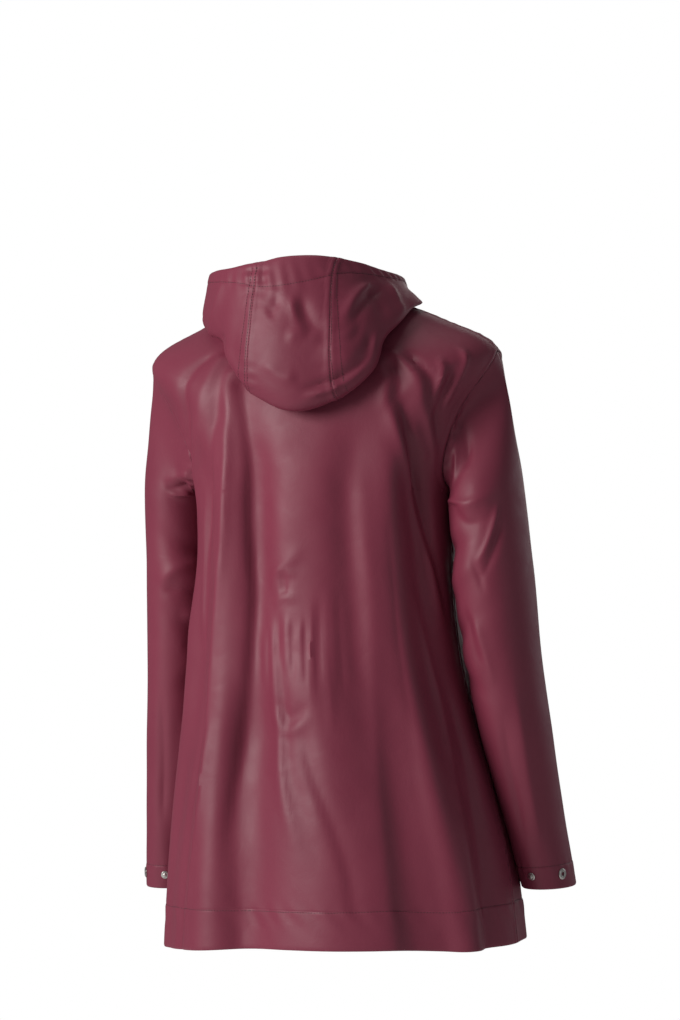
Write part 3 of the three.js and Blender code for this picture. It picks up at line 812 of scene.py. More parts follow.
class Effects:
    """The node groups that several finishes share."""

    def __init__(self) -> None:
        """Build each group once."""
        self.grain = self.make_grain()
        self.tint = self.make_tint()

    @staticmethod
    def make_grain() -> bpy.types.NodeTree:
        """Fine pebbled grain over soft crumples, as a height."""
        nodes, given, result = group_tree(
            "grain_and_crumple",
            [("Vector", VECTOR, None), ("Grain Scale", FLOAT, 900.0), ("Crumple Scale", FLOAT, 38.0),
             ("Crumple Share", FLOAT, 0.8)],
            [("Height", FLOAT), ("Mask", FLOAT)],
        )
        pebbles = nodes.add("ShaderNodeTexVoronoi", {"feature": "SMOOTH_F1"}, Vector=given.outputs["Vector"],
                            Scale=given.outputs["Grain Scale"])
        soft = nodes.add("ShaderNodeTexNoise", Vector=given.outputs["Vector"],
                         Scale=given.outputs["Crumple Scale"], Detail=3.0, Roughness=0.5, Distortion=0.6)
        grain = nodes.add("ShaderNodeMath", {"operation": "MULTIPLY"})
        nodes.set(grain, 0, pebbles.outputs["Distance"])
        nodes.set(grain, 1, 0.12)
        crumple = nodes.add("ShaderNodeMath", {"operation": "MULTIPLY"})
        nodes.set(crumple, 0, soft.outputs["Fac"])
        nodes.set(crumple, 1, given.outputs["Crumple Share"])
        height = nodes.add("ShaderNodeMath", {"operation": "ADD"})
        nodes.set(height, 0, grain.outputs[0])
        nodes.set(height, 1, crumple.outputs[0])
        nodes.set(result, "Height", height.outputs[0])
        nodes.set(result, "Mask", soft.outputs["Fac"])
        return nodes.tree

    @staticmethod
    def make_tint() -> bpy.types.NodeTree:
        """Slow changes between two colours."""
        nodes, given, result = group_tree(
            "slow_tint",
            [("Vector", VECTOR, None), ("Scale", FLOAT, 6.0), ("Low", COLOUR, (0, 0, 0, 1)),
             ("High", COLOUR, (1, 1, 1, 1))],
            [("Colour", COLOUR)],
        )
        patches = nodes.add("ShaderNodeTexNoise", Vector=given.outputs["Vector"],
                            Scale=given.outputs["Scale"], Detail=2.0)
        sharper = nodes.add("ShaderNodeMapRange", Value=patches.outputs["Fac"], From_Min=0.32, From_Max=0.68)
        blend = nodes.add("ShaderNodeMix", {"data_type": "RGBA"})
        nodes.set(blend, 0, sharper.outputs["Result"])
        nodes.set(blend, 6, given.outputs["Low"])
        nodes.set(blend, 7, given.outputs["High"])
        nodes.set(result, "Colour", blend.outputs[2])
        return nodes.tree


def rgba(colour: Colour) -> tuple[float, float, float, float]:
    """A colour with full alpha."""
    return (*colour, 1.0)


@dataclass(frozen=True)
class ClothFinish:
    """A cloth's finish, woven, knitted or coated."""

    name: str
    low: Colour
    high: Colour
    roughness: tuple[float, float]
    coat: float = 0.0
    coat_roughness: float = 0.3
    sheen: float = 0.0
    specular: float = 0.5
    grain_scale: float = 900.0
    crumple_scale: float = 38.0
    crumple_share: float = 0.8
    bump_distance: float = 0.0012
    bump_strength: float = 0.5
    ribbed: bool = False

    def material(self, effects: Effects) -> bpy.types.Material:
        """Make the material.

        Args:
            effects: The shared node groups.

        Returns:
            The material.
        """
        made = bpy.data.materials.new(self.name)
        made.use_nodes = True
        nodes = NodeTree(made.node_tree)
        place = nodes.add("ShaderNodeTexCoord").outputs["Object"]
        grain = nodes.add("ShaderNodeGroup", {"node_tree": effects.grain}, Vector=place,
                          Grain_Scale=self.grain_scale, Crumple_Scale=self.crumple_scale,
                          Crumple_Share=self.crumple_share)
        tint = nodes.add("ShaderNodeGroup", {"node_tree": effects.tint}, Vector=place,
                         Low=rgba(self.low), High=rgba(self.high))
        rough = nodes.add("ShaderNodeMapRange", Value=grain.outputs["Mask"], From_Min=0.3, From_Max=0.7,
                          To_Min=self.roughness[0], To_Max=self.roughness[1])
        height = grain.outputs["Height"]
        if self.ribbed:
            height = self.ribs(nodes, place, height)
        bump = nodes.add("ShaderNodeBump", Height=height, Strength=self.bump_strength,
                         Distance=self.bump_distance)
        shader = nodes.add("ShaderNodeBsdfPrincipled", Base_Color=tint.outputs["Colour"],
                           Roughness=rough.outputs["Result"], Normal=bump.outputs["Normal"],
                           Coat_Weight=self.coat, Coat_Roughness=self.coat_roughness,
                           Sheen_Weight=self.sheen, Sheen_Roughness=0.4, Specular_IOR_Level=self.specular)
        nodes.add("ShaderNodeOutputMaterial", Surface=shader.outputs[0])
        return made

    @staticmethod
    def ribs(nodes: NodeTree, place: bpy.types.NodeSocket,
             height: bpy.types.NodeSocket) -> bpy.types.NodeSocket:
        """Add the fine ribs of a knitted backing to a height."""
        rib = nodes.add("ShaderNodeTexWave", {"bands_direction": "X"}, Vector=place, Scale=260.0,
                        Distortion=1.2, Detail=1.0)
        sum_up = nodes.add("ShaderNodeMath", {"operation": "ADD"})
        nodes.set(sum_up, 0, height)
        nodes.set(sum_up, 1, rib.outputs["Fac"])
        return sum_up.outputs[0]


@dataclass(frozen=True)
class MetalFinish:
    """Plated metal with faint turning marks and scuffs."""

    name: str
    colour: Colour = (0.62, 0.6, 0.58)
    roughness: tuple[float, float] = (0.22, 0.42)

    def material(self, effects: Effects) -> bpy.types.Material:
        """Make the material from the shared groups."""
        made = bpy.data.materials.new(self.name)
        made.use_nodes = True
        nodes = NodeTree(made.node_tree)
        place = nodes.add("ShaderNodeTexCoord").outputs["Object"]
        grain = nodes.add("ShaderNodeGroup", {"node_tree": effects.grain}, Vector=place,
                          Grain_Scale=2600.0, Crumple_Scale=420.0, Crumple_Share=0.4)
        dull = tuple(0.72 * part for part in self.colour)
        tint = nodes.add("ShaderNodeGroup", {"node_tree": effects.tint}, Vector=place, Scale=240.0,
                         Low=rgba(dull), High=rgba(self.colour))
        rough = nodes.add("ShaderNodeMapRange", Value=grain.outputs["Mask"], From_Min=0.3, From_Max=0.7,
                          To_Min=self.roughness[0], To_Max=self.roughness[1])
        bump = nodes.add("ShaderNodeBump", Height=grain.outputs["Height"], Strength=0.15, Distance=0.0001)
        shader = nodes.add("ShaderNodeBsdfPrincipled", Base_Color=tint.outputs["Colour"], Metallic=1.0,
                           Roughness=rough.outputs["Result"], Normal=bump.outputs["Normal"])
        nodes.add("ShaderNodeOutputMaterial", Surface=shader.outputs[0])
        return made


@dataclass
class Wardrobe:
    """The coat's finished materials."""

    effects: Effects = field(default_factory=Effects)

    def __post_init__(self) -> None:
        """Make each material once."""
        self.cloth = ClothFinish("coated_cloth", low=(0.185, 0.0265, 0.054), high=(0.208, 0.0310, 0.061),
                                 roughness=(0.48, 0.58), coat=0.05, coat_roughness=0.42,
                                 specular=0.35).material(self.effects)
        self.backing = ClothFinish("knit_backing", low=(0.120, 0.022, 0.042), high=(0.150, 0.030, 0.054),
                                   roughness=(0.8, 0.9), sheen=0.2, specular=0.25, crumple_share=0.3,
                                   bump_distance=0.0003, ribbed=True).material(self.effects)
        self.thread = ClothFinish("sewing_thread", low=(0.060, 0.009, 0.018), high=(0.085, 0.014, 0.027),
                                  roughness=(0.6, 0.7), sheen=0.05, grain_scale=2400.0, crumple_scale=900.0,
                                  bump_distance=0.0001).material(self.effects)
        self.metal = MetalFinish("snap_metal").material(self.effects)

    def dress_cloth(self, piece: bpy.types.Object, *nodes: str) -> None:
        """Give a cloth wall its outer and backing materials and tie it to its node."""
        piece.data.materials.append(self.cloth)
        piece.data.materials.append(self.backing)
        self.join(piece, "coated_cloth", *nodes)

    @staticmethod
    def join(piece: bpy.types.Object, slot: str, *nodes: str) -> None:
        """Make a piece ride on the coat and replace the nodes it stands for."""
        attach(piece, "root")
        if nodes:
            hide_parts(*nodes)
        area = sum(face.area for face in piece.data.polygons) / 2
        log.info("%s: %d faces, %.3f square metres", piece.name, len(piece.data.polygons), area)


EDGE_STEPS = np.array([0.0, 0.6, 1.3, 2.2, 3.4, 5.0, 6.4, 7.4, 8.4, 10.0, 12.5])

# How far a scooped edge pushes the columns in, as a share of the panel, and how fast that fades.
TWO_SCOOPS = (0.45, 2.2)
ONE_SCOOP = (1.0, 1.8)
WIDE_PANEL = 120.0


def seam_columns(form: BodyForm, s: Array, start: Array, end: Array, count: int) -> Array:
    """Angles over a panel's rows, close together near its two sewn edges.

    A middle column keeps its hem angle, except near a scooped edge, which pushes it in.

    Args:
        form: The body's form.
        s: The rows' ways down the coat.
        start: The first edge's angle in each row.
        end: The last edge's angle in each row.
        count: Columns between the close ones.

    Returns:
        Angles, rows by columns.
    """
    def per_degree(edge: Array) -> Array:
        """Millimetres for one degree at an edge."""
        return np.linalg.norm(form.point(edge + 0.5, s) - form.point(edge - 0.5, s), axis=-1)[:, None]

    trim = SEAM_GAP / 2
    first = start[:, None] + (EDGE_STEPS + trim) / per_degree(start)
    last = end[:, None] - (EDGE_STEPS[::-1] + trim) / per_degree(end)
    share = np.linspace(0, 1, count + 2)[1:-1]
    hem = mix(first[-1, -1], last[-1, 0], share)
    reach, power = TWO_SCOOPS if abs(end[-1] - start[-1]) > WIDE_PANEL else ONE_SCOOP
    by_start = np.clip(1 - share / reach, 0, 1) ** power
    by_end = np.clip(1 - (1 - share) / reach, 0, 1) ** power
    middle = (hem + (first[:, -1:] - first[-1, -1]) * by_start
              + (last[:, :1] - last[-1, 0]) * by_end)
    return np.concatenate([first, middle, last], axis=1)


BACK_CREASES = (
    Crease(13, -6, ((17, 88), (15.5, 110), (17.5, 157), (20, 235), (19.5, 305), (18.5, 350), (20, 442),
                    (23, 532), (26, 610), (27, 690)), steep=0.55, open_start=True),
    Crease(7, 3.5, ((22, 78), (21.5, 112), (26.5, 160), (30, 212), (32, 282), (35, 352), (38, 465), (38, 577),
                    (41, 682)), open_start=True),
    Crease(7, -3, ((25.5, 75), (25, 108), (33, 150), (43, 200), (50, 262), (54, 330)), steep=0.2),
    Crease(9, 3.6, ((31, 66), (30, 97), (39.5, 137), (53, 175), (65, 212), (70, 262)), open_start=True),
    Crease(7, -4, ((38, 70), (42, 110), (55, 160), (70, 215)), open_start=True),
    Crease(6, 2.5, ((52, 205), (56, 280), (55, 360), (51, 430))),
    Crease(9, -3, ((44, 430), (47, 540), (50, 640), (52, 733)), steep=0.3, open_end=True),
    Crease(18, -3.5, ((60, 480), (63, 600), (66, 733)), open_end=True),
    Crease(7, 4.5, ((-28.5, 80), (-30, 115), (-35, 135), (-43, 174), (-53, 215), (-63.5, 275), (-68.5, 307),
                    (-73, 350), (-77.5, 390)), open_start=True),
    Crease(8, -7, ((-31.5, 85), (-33.2, 115), (-39, 135), (-48, 177), (-59, 220), (-67.5, 282), (-73, 312),
                   (-78.5, 350), (-82, 400)), steep=0.15, open_start=True),
    Crease(7, 4.5, ((-36, 72), (-37.5, 92), (-44.5, 122), (-53.5, 147), (-61, 175), (-70, 212)),
           open_start=True),
    Crease(5, -4, ((-40.5, 78), (-42.5, 96), (-49, 122), (-58, 150), (-66, 180)), open_start=True),
    Crease(5, 3, ((-43, 148), (-56.5, 180), (-62.5, 197))),
    Crease(5, 3.5, ((-50, 95), (-51.5, 125), (-57, 147)), open_start=True),
    Crease(5, -3.5, ((-55, 96), (-56, 122), (-60, 146))),
    Crease(5, 3, ((-62.5, 92), (-60, 122), (-62.5, 142)), open_start=True),
    Crease(24, -7, ((-31, 150), (-38, 230), (-42, 300), (-44, 372), (-44, 455), (-42, 540), (-44, 640),
                    (-47, 733)), steep=-0.2, open_end=True),
    Crease(16, 5, ((-22, 130), (-28, 212), (-31, 290), (-33, 372), (-31, 462), (-28, 560), (-27, 650),
                   (-29, 733)), steep=-0.2, open_end=True),
    Crease(13, 5, ((-52, 300), (-62, 390), (-66, 488), (-63, 578), (-59, 650), (-58, 733)), open_end=True),
    Crease(10, -4, ((-70, 420), (-75, 520), (-73, 620), (-71, 733)), open_end=True),
    Crease(9, -3, ((14, 300), (10, 350), (6.5, 395), (4.5, 462), (3.5, 530), (-1, 595), (-6.5, 665)),
           steep=0.3),
    Crease(7, 2.4, ((10.5, 330), (8, 400), (7.5, 470), (6, 545), (2, 610), (-3, 670))),
    Crease(7, -2.6, ((-2.5, 462), (-3.5, 530), (-10, 595), (-15, 660), (-16, 720)), steep=0.3),
    Crease(34, -9, ((21, 420), (22.5, 500), (23.5, 560), (23, 640), (21, 733)), steep=0.6, open_end=True),
    Crease(3.4, -2.6, ((3.6, 314), (3.4, 331), (3.6, 348))),
    Crease(4, 1.6, ((8, 310), (3, 320), (-2, 316))),
    Crease(4, 1.6, ((9, 358), (3.5, 346), (-2, 352))),
    Crease(3.6, -1.8, ((5.5, 360), (6.5, 395), (7.5, 428))),
    Crease(3.2, 1.6, ((2.5, 364), (2.2, 400), (2, 438))),
    Crease(2.6, -1.5, ((-0.5, 362), (-0.4, 402), (0, 446))),
    Crease(2.6, 1.5, ((-2.4, 366), (-2.6, 405), (-2.4, 450))),
    Crease(2.8, -1.7, ((-4.8, 362), (-4.6, 402), (-4.2, 448))),
    Crease(2.8, 1.7, ((-7.5, 345), (-7, 405), (-6, 480)), steep=-0.4),
    Crease(5, -2, ((9, 458), (1.5, 482), (-4.5, 460))),
    Crease(5, 1.8, ((10, 472), (3, 498), (-5.5, 476))),
    Crease(3, 1.3, ((14.5, 372), (13.6, 410), (13.8, 452))),
    Crease(3, -1.3, ((11.4, 380), (11, 420), (11.4, 462))),
    Crease(3, 1.2, ((-12.5, 400), (-13, 450), (-12.6, 510))),
    Crease(3.4, -1.2, ((-18, 330), (-18.6, 400), (-18.2, 470))),
    Crease(4, -1.6, ((-10.5, 330), (-10, 372), (-9.5, 418), (-8, 462))),
    Crease(6, 1.8, ((12, 350), (8, 322), (1, 305), (-4, 282))),
    Crease(3.2, 1.8, ((34, 455), (37, 532), (41.5, 632), (46.5, 733)), open_end=True),
)

FRONT_CREASES = (
    Crease(12, -5, ((150, 130), (146, 240), (150, 360), (152, 520), (150, 733)), open_end=True),
    Crease(9, 4, ((160, 110), (157, 200), (160, 330), (163, 480))),
    Crease(9, 5, ((112, 190), (122, 232), (134, 268), (144, 330), (148, 420)), steep=0.2),
    Crease(8, -4.5, ((106, 215), (118, 262), (128, 320), (134, 420), (136, 560))),
    Crease(7, 3.5, ((126, 120), (130, 160), (127, 205), (119, 240)), open_start=True),
    Crease(7, -3.5, ((136, 105), (139, 160), (136, 215), (128, 262)), open_start=True),
    Crease(14, 4, ((98, 380), (101, 520), (104, 733)), open_end=True),
    Crease(6, 1.6, ((165, 400), (158, 380), (150, 388), (142, 405))),
    Crease(6, -1.4, ((164, 545), (155, 536), (146, 548))),
    Crease(12, -4.5, ((-152, 120), (-149, 250), (-146, 380), (-149, 540), (-152, 733)), open_end=True),
    Crease(9, 4.5, ((-162, 130), (-158, 260), (-160, 420), (-157, 560))),
    Crease(9, 5, ((-112, 200), (-121, 246), (-132, 286), (-140, 360), (-143, 470)), steep=-0.2),
    Crease(8, -5, ((-105, 222), (-116, 275), (-125, 340), (-131, 450), (-133, 600))),
    Crease(7, 3.5, ((-124, 112), (-129, 150), (-127, 196), (-120, 236)), open_start=True),
    Crease(13, 4.5, ((-97, 350), (-100, 500), (-103, 733)), open_end=True),
    Crease(6, 1.5, ((-166, 360), (-158, 350), (-148, 362))),
    Crease(6, -1.4, ((-163, 500), (-154, 508), (-144, 498))),
)


@dataclass
class BodyShell:
    """The back, both fronts and the placket, with their seams, hem and stitching."""

    form: BodyForm
    wardrobe: Wardrobe
    yoke_rows: int = 26
    armhole_rows: int = 44
    skirt_rows: int = 104
    hem_rows: int = 12
    back_columns: int = 120
    front_columns: int = 54
    mm_per_degree: float = 2.7
    seam_band: float = 7.4
    placket_half_width: float = 24.0
    placket_top: float = 6.0
    back_cut: tuple[float, float] = (0.62, 0.75)
    front_cut: tuple[float, float] = (0.31, 0.71)
    walls: dict[str, Wall] = field(default_factory=dict)

    def __post_init__(self) -> None:
        """Lay out the rows and the seams."""
        steps = np.arange(self.armhole_rows)
        self.rows = np.concatenate([
            np.linspace(NECK_S, SHOULDER_S, self.yoke_rows, endpoint=False),
            armhole_s(steps, self.armhole_rows),
            np.linspace(UNDERARM_S, HEM_S - HEM_DEPTH - 3, self.skirt_rows, endpoint=False),
            np.linspace(HEM_S - HEM_DEPTH - 3, HEM_S - HEM_DEPTH + 3, self.hem_rows, endpoint=False),
            np.linspace(HEM_S - HEM_DEPTH + 3, HEM_S - 2, self.hem_rows, endpoint=False),
            HEM_S - np.array([2.0, 1.0, 0.4, 0.0]),
        ])
        self.seams = {
            (side, back): self.edge_seam(side, back) for side in (1, -1) for back in (True, False)
        }

    def edge_line(self, side: int, back: bool) -> tuple[Array, Array]:
        """The angles and ways down of a panel's sewn edge."""
        s = np.concatenate([
            np.linspace(NECK_S, SHOULDER_S, 40, endpoint=False),
            armhole_s(np.arange(120), 120),
            np.linspace(UNDERARM_S, HEM_S, 200),
        ])
        return side * self.form.edge_angle(s, back, side), s

    def edge_seam(self, side: int, back: bool) -> Seam:
        """The seam at a panel's edge, with its raised band on the back panel."""
        angle, s = self.edge_line(side, back)
        return Seam(self.form.point(angle, s), band=self.seam_band, pitch=15.0, pucker_height=0.45,
                    seed=1.3 * side + back)

    def relief(self, angle: Array, s: Array, creases: Sequence[Crease], seams: Sequence[Seam]) -> Array:
        """All that stands off the plain form, in millimetres.

        Args:
            angle: Degrees round the coat.
            s: Ways down it.
            creases: The listed creases.
            seams: The sewn edges nearby.

        Returns:
            Millimetres off the form at each place.
        """
        around = angle * self.mm_per_degree
        near_hem = ease((s - (HEM_S - HEM_DEPTH - 60)) / 60)
        height = 0.5 * drift(around, s, 42.0, 0.8) + 0.25 * drift(around, s, 17.0, 2.1)
        for crease in creases:
            height = height + crease.height(angle, s, (self.mm_per_degree, 1.0))
        places = self.form.point(angle, s)
        for seam in seams:
            height = height + seam.relief(places)
        return height + near_hem * self.hem_relief(around, s)

    @staticmethod
    def hem_relief(around: Array, s: Array) -> Array:
        """The turned hem: a slight step at its stitches, slanting puckers and a rolled edge."""
        below = s - (HEM_S - HEM_DEPTH)
        step = 0.5 * ease((below + 1.5) / 3) - 0.45 * bell(below / 1.1)
        slant = around + 0.55 * below
        waves = pucker(slant, 21.0, 0.6) + 0.6 * pucker(slant * 1.13 + 40, 34.0, 2.2)
        reach = bell((below - 5) / 13)
        edge = -0.8 * bell((HEM_S - s) / 1.1)
        return step + 0.75 * waves * reach + edge

    def thickness(self, s: Array) -> Array:
        """The wall's thickness down the panel."""
        return mix(CLOTH, HEM_CLOTH, ease((s - (HEM_S - HEM_DEPTH) + 1.5) / 3))

    def panel(self, name: str, start: Array, end: Array, columns: int, creases: Sequence[Crease],
              seams: Sequence[Seam]) -> Wall:
        """Make one panel between two edges given as angles in each row."""
        angle = seam_columns(self.form, self.rows, start, end, columns)
        s = np.broadcast_to(self.rows[:, None], angle.shape)
        relief = self.relief(angle, s, creases, seams)
        wall = Wall.sewn(name, self.form.point(angle, s), relief, self.thickness(s), flip=False)
        self.walls[name] = wall
        return wall

    def build(self) -> None:
        """Make the panels, then the placket and the stitching."""
        edge = {key: key[0] * self.form.edge_angle(self.rows, key[1], key[0]) for key in self.seams}
        middle = np.full_like(self.rows, 180.0)
        back = self.panel("back_cloth", edge[(-1, True)], edge[(1, True)], self.back_columns, BACK_CREASES,
                          [self.seams[(-1, True)], self.seams[(1, True)]])
        left = self.panel("front_left_cloth", edge[(1, False)], middle, self.front_columns, FRONT_CREASES,
                          [self.seams[(1, False)]])
        right = self.panel("front_right_cloth", -middle, edge[(-1, False)], self.front_columns, FRONT_CREASES,
                           [self.seams[(-1, False)]])
        for wall, node, cut, area in ((back, "back", self.back_cut, 0.38),
                                      (left, "front_left", self.front_cut, 0.19),
                                      (right, "front_right", self.front_cut, 0.19)):
            self.wardrobe.dress_cloth(wall.piece, node)
        self.placket()
        self.stitch()

    def placket(self) -> None:
        """The strip over the front edges, made from their places moved out."""
        rows = self.rows[self.rows >= self.placket_top]
        reach = np.degrees(self.placket_half_width / self.form.sections.read("half_width", rows))
        across = np.concatenate([-1 + EDGE_STEPS[:6] / 24, np.linspace(-0.75, 0.75, 16),
                                 1 - EDGE_STEPS[5::-1] / 24])
        angle = 180 + reach[:, None] * across[None]
        s = np.broadcast_to(rows[:, None], angle.shape)
        lay = LAY_GAP + 0.5 + PLACKET_CLOTH + 1.2
        edge = np.abs(across)[None] * self.placket_half_width - self.placket_half_width
        under = self.relief(angle, s, FRONT_CREASES, [])
        height = under + lay - 0.7 * bell(edge / 0.8) - 0.35 * bell((edge + 3.2) / 0.9)
        height = height + 0.35 * pucker(s, 19.0, 0.4) * bell((edge + 3) / 5)
        wall = Wall.sewn("placket_cloth", self.form.point(angle, s), height, PLACKET_CLOTH, flip=False)
        self.walls["placket_cloth"] = wall
        self.wardrobe.dress_cloth(wall.piece, "front_placket")

    def stitch(self) -> None:
        """Sew the armholes, side seams, shoulders, hem and placket."""
        thread = Stitching("body_stitching")
        names = {(1, True): "back_cloth", (-1, True): "back_cloth", (1, False): "front_left_cloth",
                 (-1, False): "front_right_cloth"}
        for (side, back), name in names.items():
            angle, s = self.edge_line(side, back)
            wall = self.walls[name]
            for inset in (1.6, self.seam_band - 1.0):
                thread.sew(wall, self.inset_line(angle, s, inset, side if back else -side))
        for name, (start, end) in {"back_cloth": (-88.5, 88.5), "front_left_cloth": (91.5, 172),
                                   "front_right_cloth": (188, 268.5)}.items():
            angle = np.linspace(start, end, 300)
            low = np.full_like(angle, HEM_S - HEM_DEPTH)
            thread.sew(self.walls[name], self.form.point(angle, low))
        s = np.linspace(self.placket_top + 4, HEM_S - 4, 300)
        reach = np.degrees(self.placket_half_width / self.form.sections.read("half_width", s))
        for share in (-0.87, 0.87):
            angle = 180 + share * reach
            line = self.form.point(angle, s) + self.form.normal(angle, s) * 4
            thread.sew(self.walls["placket_cloth"], line)
        piece = thread.build()
        piece.data.materials.append(self.wardrobe.thread)
        self.wardrobe.join(piece, "coated_cloth")

    def inset_line(self, angle: Array, s: Array, inset: float, side: int) -> Array:
        """A panel's sewn edge moved into the panel by a distance."""
        line = self.form.point(angle, s)
        along = unit(np.gradient(line, axis=0))
        inward = unit(np.cross(self.form.normal(angle, s), along)) * -side
        return (line + inward * inset)[4:-3]


LEFT_SLEEVE_CREASES = (
    Crease(8, 3, ((84, 0.225), (104, 0.175), (122, 0.11), (138, 0.02))),
    Crease(7, -3.4, ((86, 0.245), (110, 0.215), (130, 0.165), (148, 0.12))),
    Crease(6, 3, ((96, 0.262), (120, 0.232), (142, 0.19))),
    Crease(9, -2.4, ((176, 0.16), (166, 0.28), (160, 0.38))),
    Crease(8, 2.4, ((70, 0.448), (90, 0.435), (108, 0.42), (130, 0.408), (160, 0.40))),
    Crease(7, -2.6, ((78, 0.468), (94, 0.46), (112, 0.462), (134, 0.466), (168, 0.47)), steep=-0.2),
    Crease(7, 2.2, ((110, 0.50), (136, 0.505), (168, 0.515))),
    Crease(8, -2, ((180, 0.57), (145, 0.56), (112, 0.555))),
    Crease(10, -2.5, ((80, 0.62), (90, 0.75), (96, 0.9))),
    Crease(9, 2.2, ((130, 0.66), (124, 0.78), (120, 0.93))),
    Crease(6, -3.5, ((230, 0.46), (265, 0.475), (300, 0.46), (335, 0.44))),
    Crease(6, 3, ((235, 0.52), (270, 0.535), (310, 0.52))),
    Crease(7, -3, ((225, 0.6), (270, 0.615), (315, 0.6))),
)
RIGHT_SLEEVE_CREASES = (
    Crease(10, 3, ((160, 0.215), (142, 0.25), (108, 0.3), (78, 0.302), (54, 0.315)), steep=0.2),
    Crease(9, -2.6, ((158, 0.265), (138, 0.29), (110, 0.335), (84, 0.34), (62, 0.335)), steep=-0.2),
    Crease(4, 2.8, ((50, 0.30), (66, 0.358), (80, 0.395), (96, 0.425))),
    Crease(5, -2.4, ((48, 0.335), (62, 0.385), (80, 0.43), (92, 0.45))),
    Crease(5, -1.6, ((102, 0.40), (92, 0.44), (85, 0.478))),
    Crease(7, 1.8, ((116, 0.482), (104, 0.53), (96, 0.575), (90, 0.635))),
    Crease(7, -1.6, ((128, 0.49), (116, 0.54), (108, 0.6))),
    Crease(8, 3, ((100, 0.0), (106, 0.08), (120, 0.15), (134, 0.19)), open_start=True),
    Crease(8, -3, ((80, 0.0), (86, 0.1), (94, 0.19)), open_start=True),
    Crease(11, -2.6, ((84, 0.66), (92, 0.78), (98, 0.93))),
    Crease(10, 2.2, ((60, 0.6), (64, 0.76), (70, 0.94))),
    Crease(6, -3.5, ((228, 0.44), (262, 0.46), (300, 0.45), (335, 0.42))),
    Crease(6, 3, ((232, 0.5), (270, 0.515), (312, 0.5))),
    Crease(7, -3, ((225, 0.58), (270, 0.6), (318, 0.58))),
)


@dataclass
class SleeveShell:
    """A set-in sleeve with its head, elbow folds and turned cuff."""

    form: SleeveForm
    wardrobe: Wardrobe
    word: str
    creases: tuple[Crease, ...]
    columns: int = 132
    rows: int = 210
    length: float = 640.0
    mm_per_degree: float = 0.92
    cut: tuple[float, float] = (0.40, 0.65)
    cut_area: float = 0.17

    def build(self) -> None:
        """Make the sleeve and sew its cuff."""
        cuff = 1 - CUFF_HEM_DEPTH / self.length
        seam_rows = np.array([0, 0.5, 1.2, 2.2, 3.6, 5.2, 7.0, 9.2]) / self.length
        edge_rows = 1 - np.array([1.6, 0.8, 0.3, 0.0]) / self.length
        along = np.concatenate([seam_rows, np.linspace(12 / self.length, cuff - 0.005, self.rows),
                                np.linspace(cuff - 0.0035, cuff + 0.0035, 7),
                                np.linspace(cuff + 0.006, 1 - 2.6 / self.length, 12), edge_rows])
        angle = np.arange(self.columns) * 360.0 / self.columns
        grid_angle, grid_along = np.meshgrid(angle, along)
        base = self.form.point(grid_angle, grid_along)
        relief = self.relief(base, grid_angle, grid_along, cuff)
        thick = mix(CLOTH, HEM_CLOTH, ease((grid_along - cuff) * self.length / 2))
        wall = Wall.sewn(f"sleeve_{self.word}_cloth", base, relief, thick, flip=self.form.side > 0, wrap=True)
        self.wardrobe.dress_cloth(wall.piece, f"sleeve_{self.word}_back", f"sleeve_{self.word}_front")
        thread = Stitching(f"cuff_stitching_{self.word}")
        around = np.linspace(0, 360, 240)
        thread.sew(wall, self.form.point(around, np.full_like(around, cuff)))
        piece = thread.build()
        piece.data.materials.append(self.wardrobe.thread)
        self.wardrobe.join(piece, "coated_cloth")

    def relief(self, base: Array, angle: Array, along: Array, cuff: float) -> Array:
        """Creases, the puckered head, the turned cuff and slow unevenness."""
        around = angle * self.mm_per_degree
        way = along * self.length
        height = 0.4 * drift(np.sin(np.radians(angle)) * 60, way, 38.0, 1.1)
        height = height + 0.25 * drift(np.cos(np.radians(angle)) * 60, way, 19.0, 2.7)
        for crease in self.creases:
            for turn in (0.0, 360.0, -360.0):
                if turn and not self.reaches(crease, turn):
                    continue
                height = height + crease.height(angle + turn, along, (self.mm_per_degree, self.length))
        ring = np.linspace(0, 360, 400)
        seam, _, _ = self.form.armhole(ring)
        head = Seam(seam, band=0.0, pitch=16.0, pucker_height=0.8, pucker_reach=9.0,
                    seed=0.9 * self.form.side)
        below = (along - cuff) * self.length
        waves = pucker(around, 17.0, 1.4) * bell((below - 3) / 9)
        hem = 0.5 * ease((below + 1.5) / 3) - 0.45 * bell(below / 1.1) + 0.5 * waves
        edge = -0.8 * bell((1 - along) * self.length / 0.9)
        return height * ease(way / 14) + head.relief(base) + hem + edge

    @staticmethod
    def reaches(crease: Crease, turn: float) -> bool:
        """Whether a crease crosses into the next turn round the sleeve."""
        angles = [point[0] for point in crease.route]
        return (turn > 0 and max(angles) > 330) or (turn < 0 and min(angles) < 30)


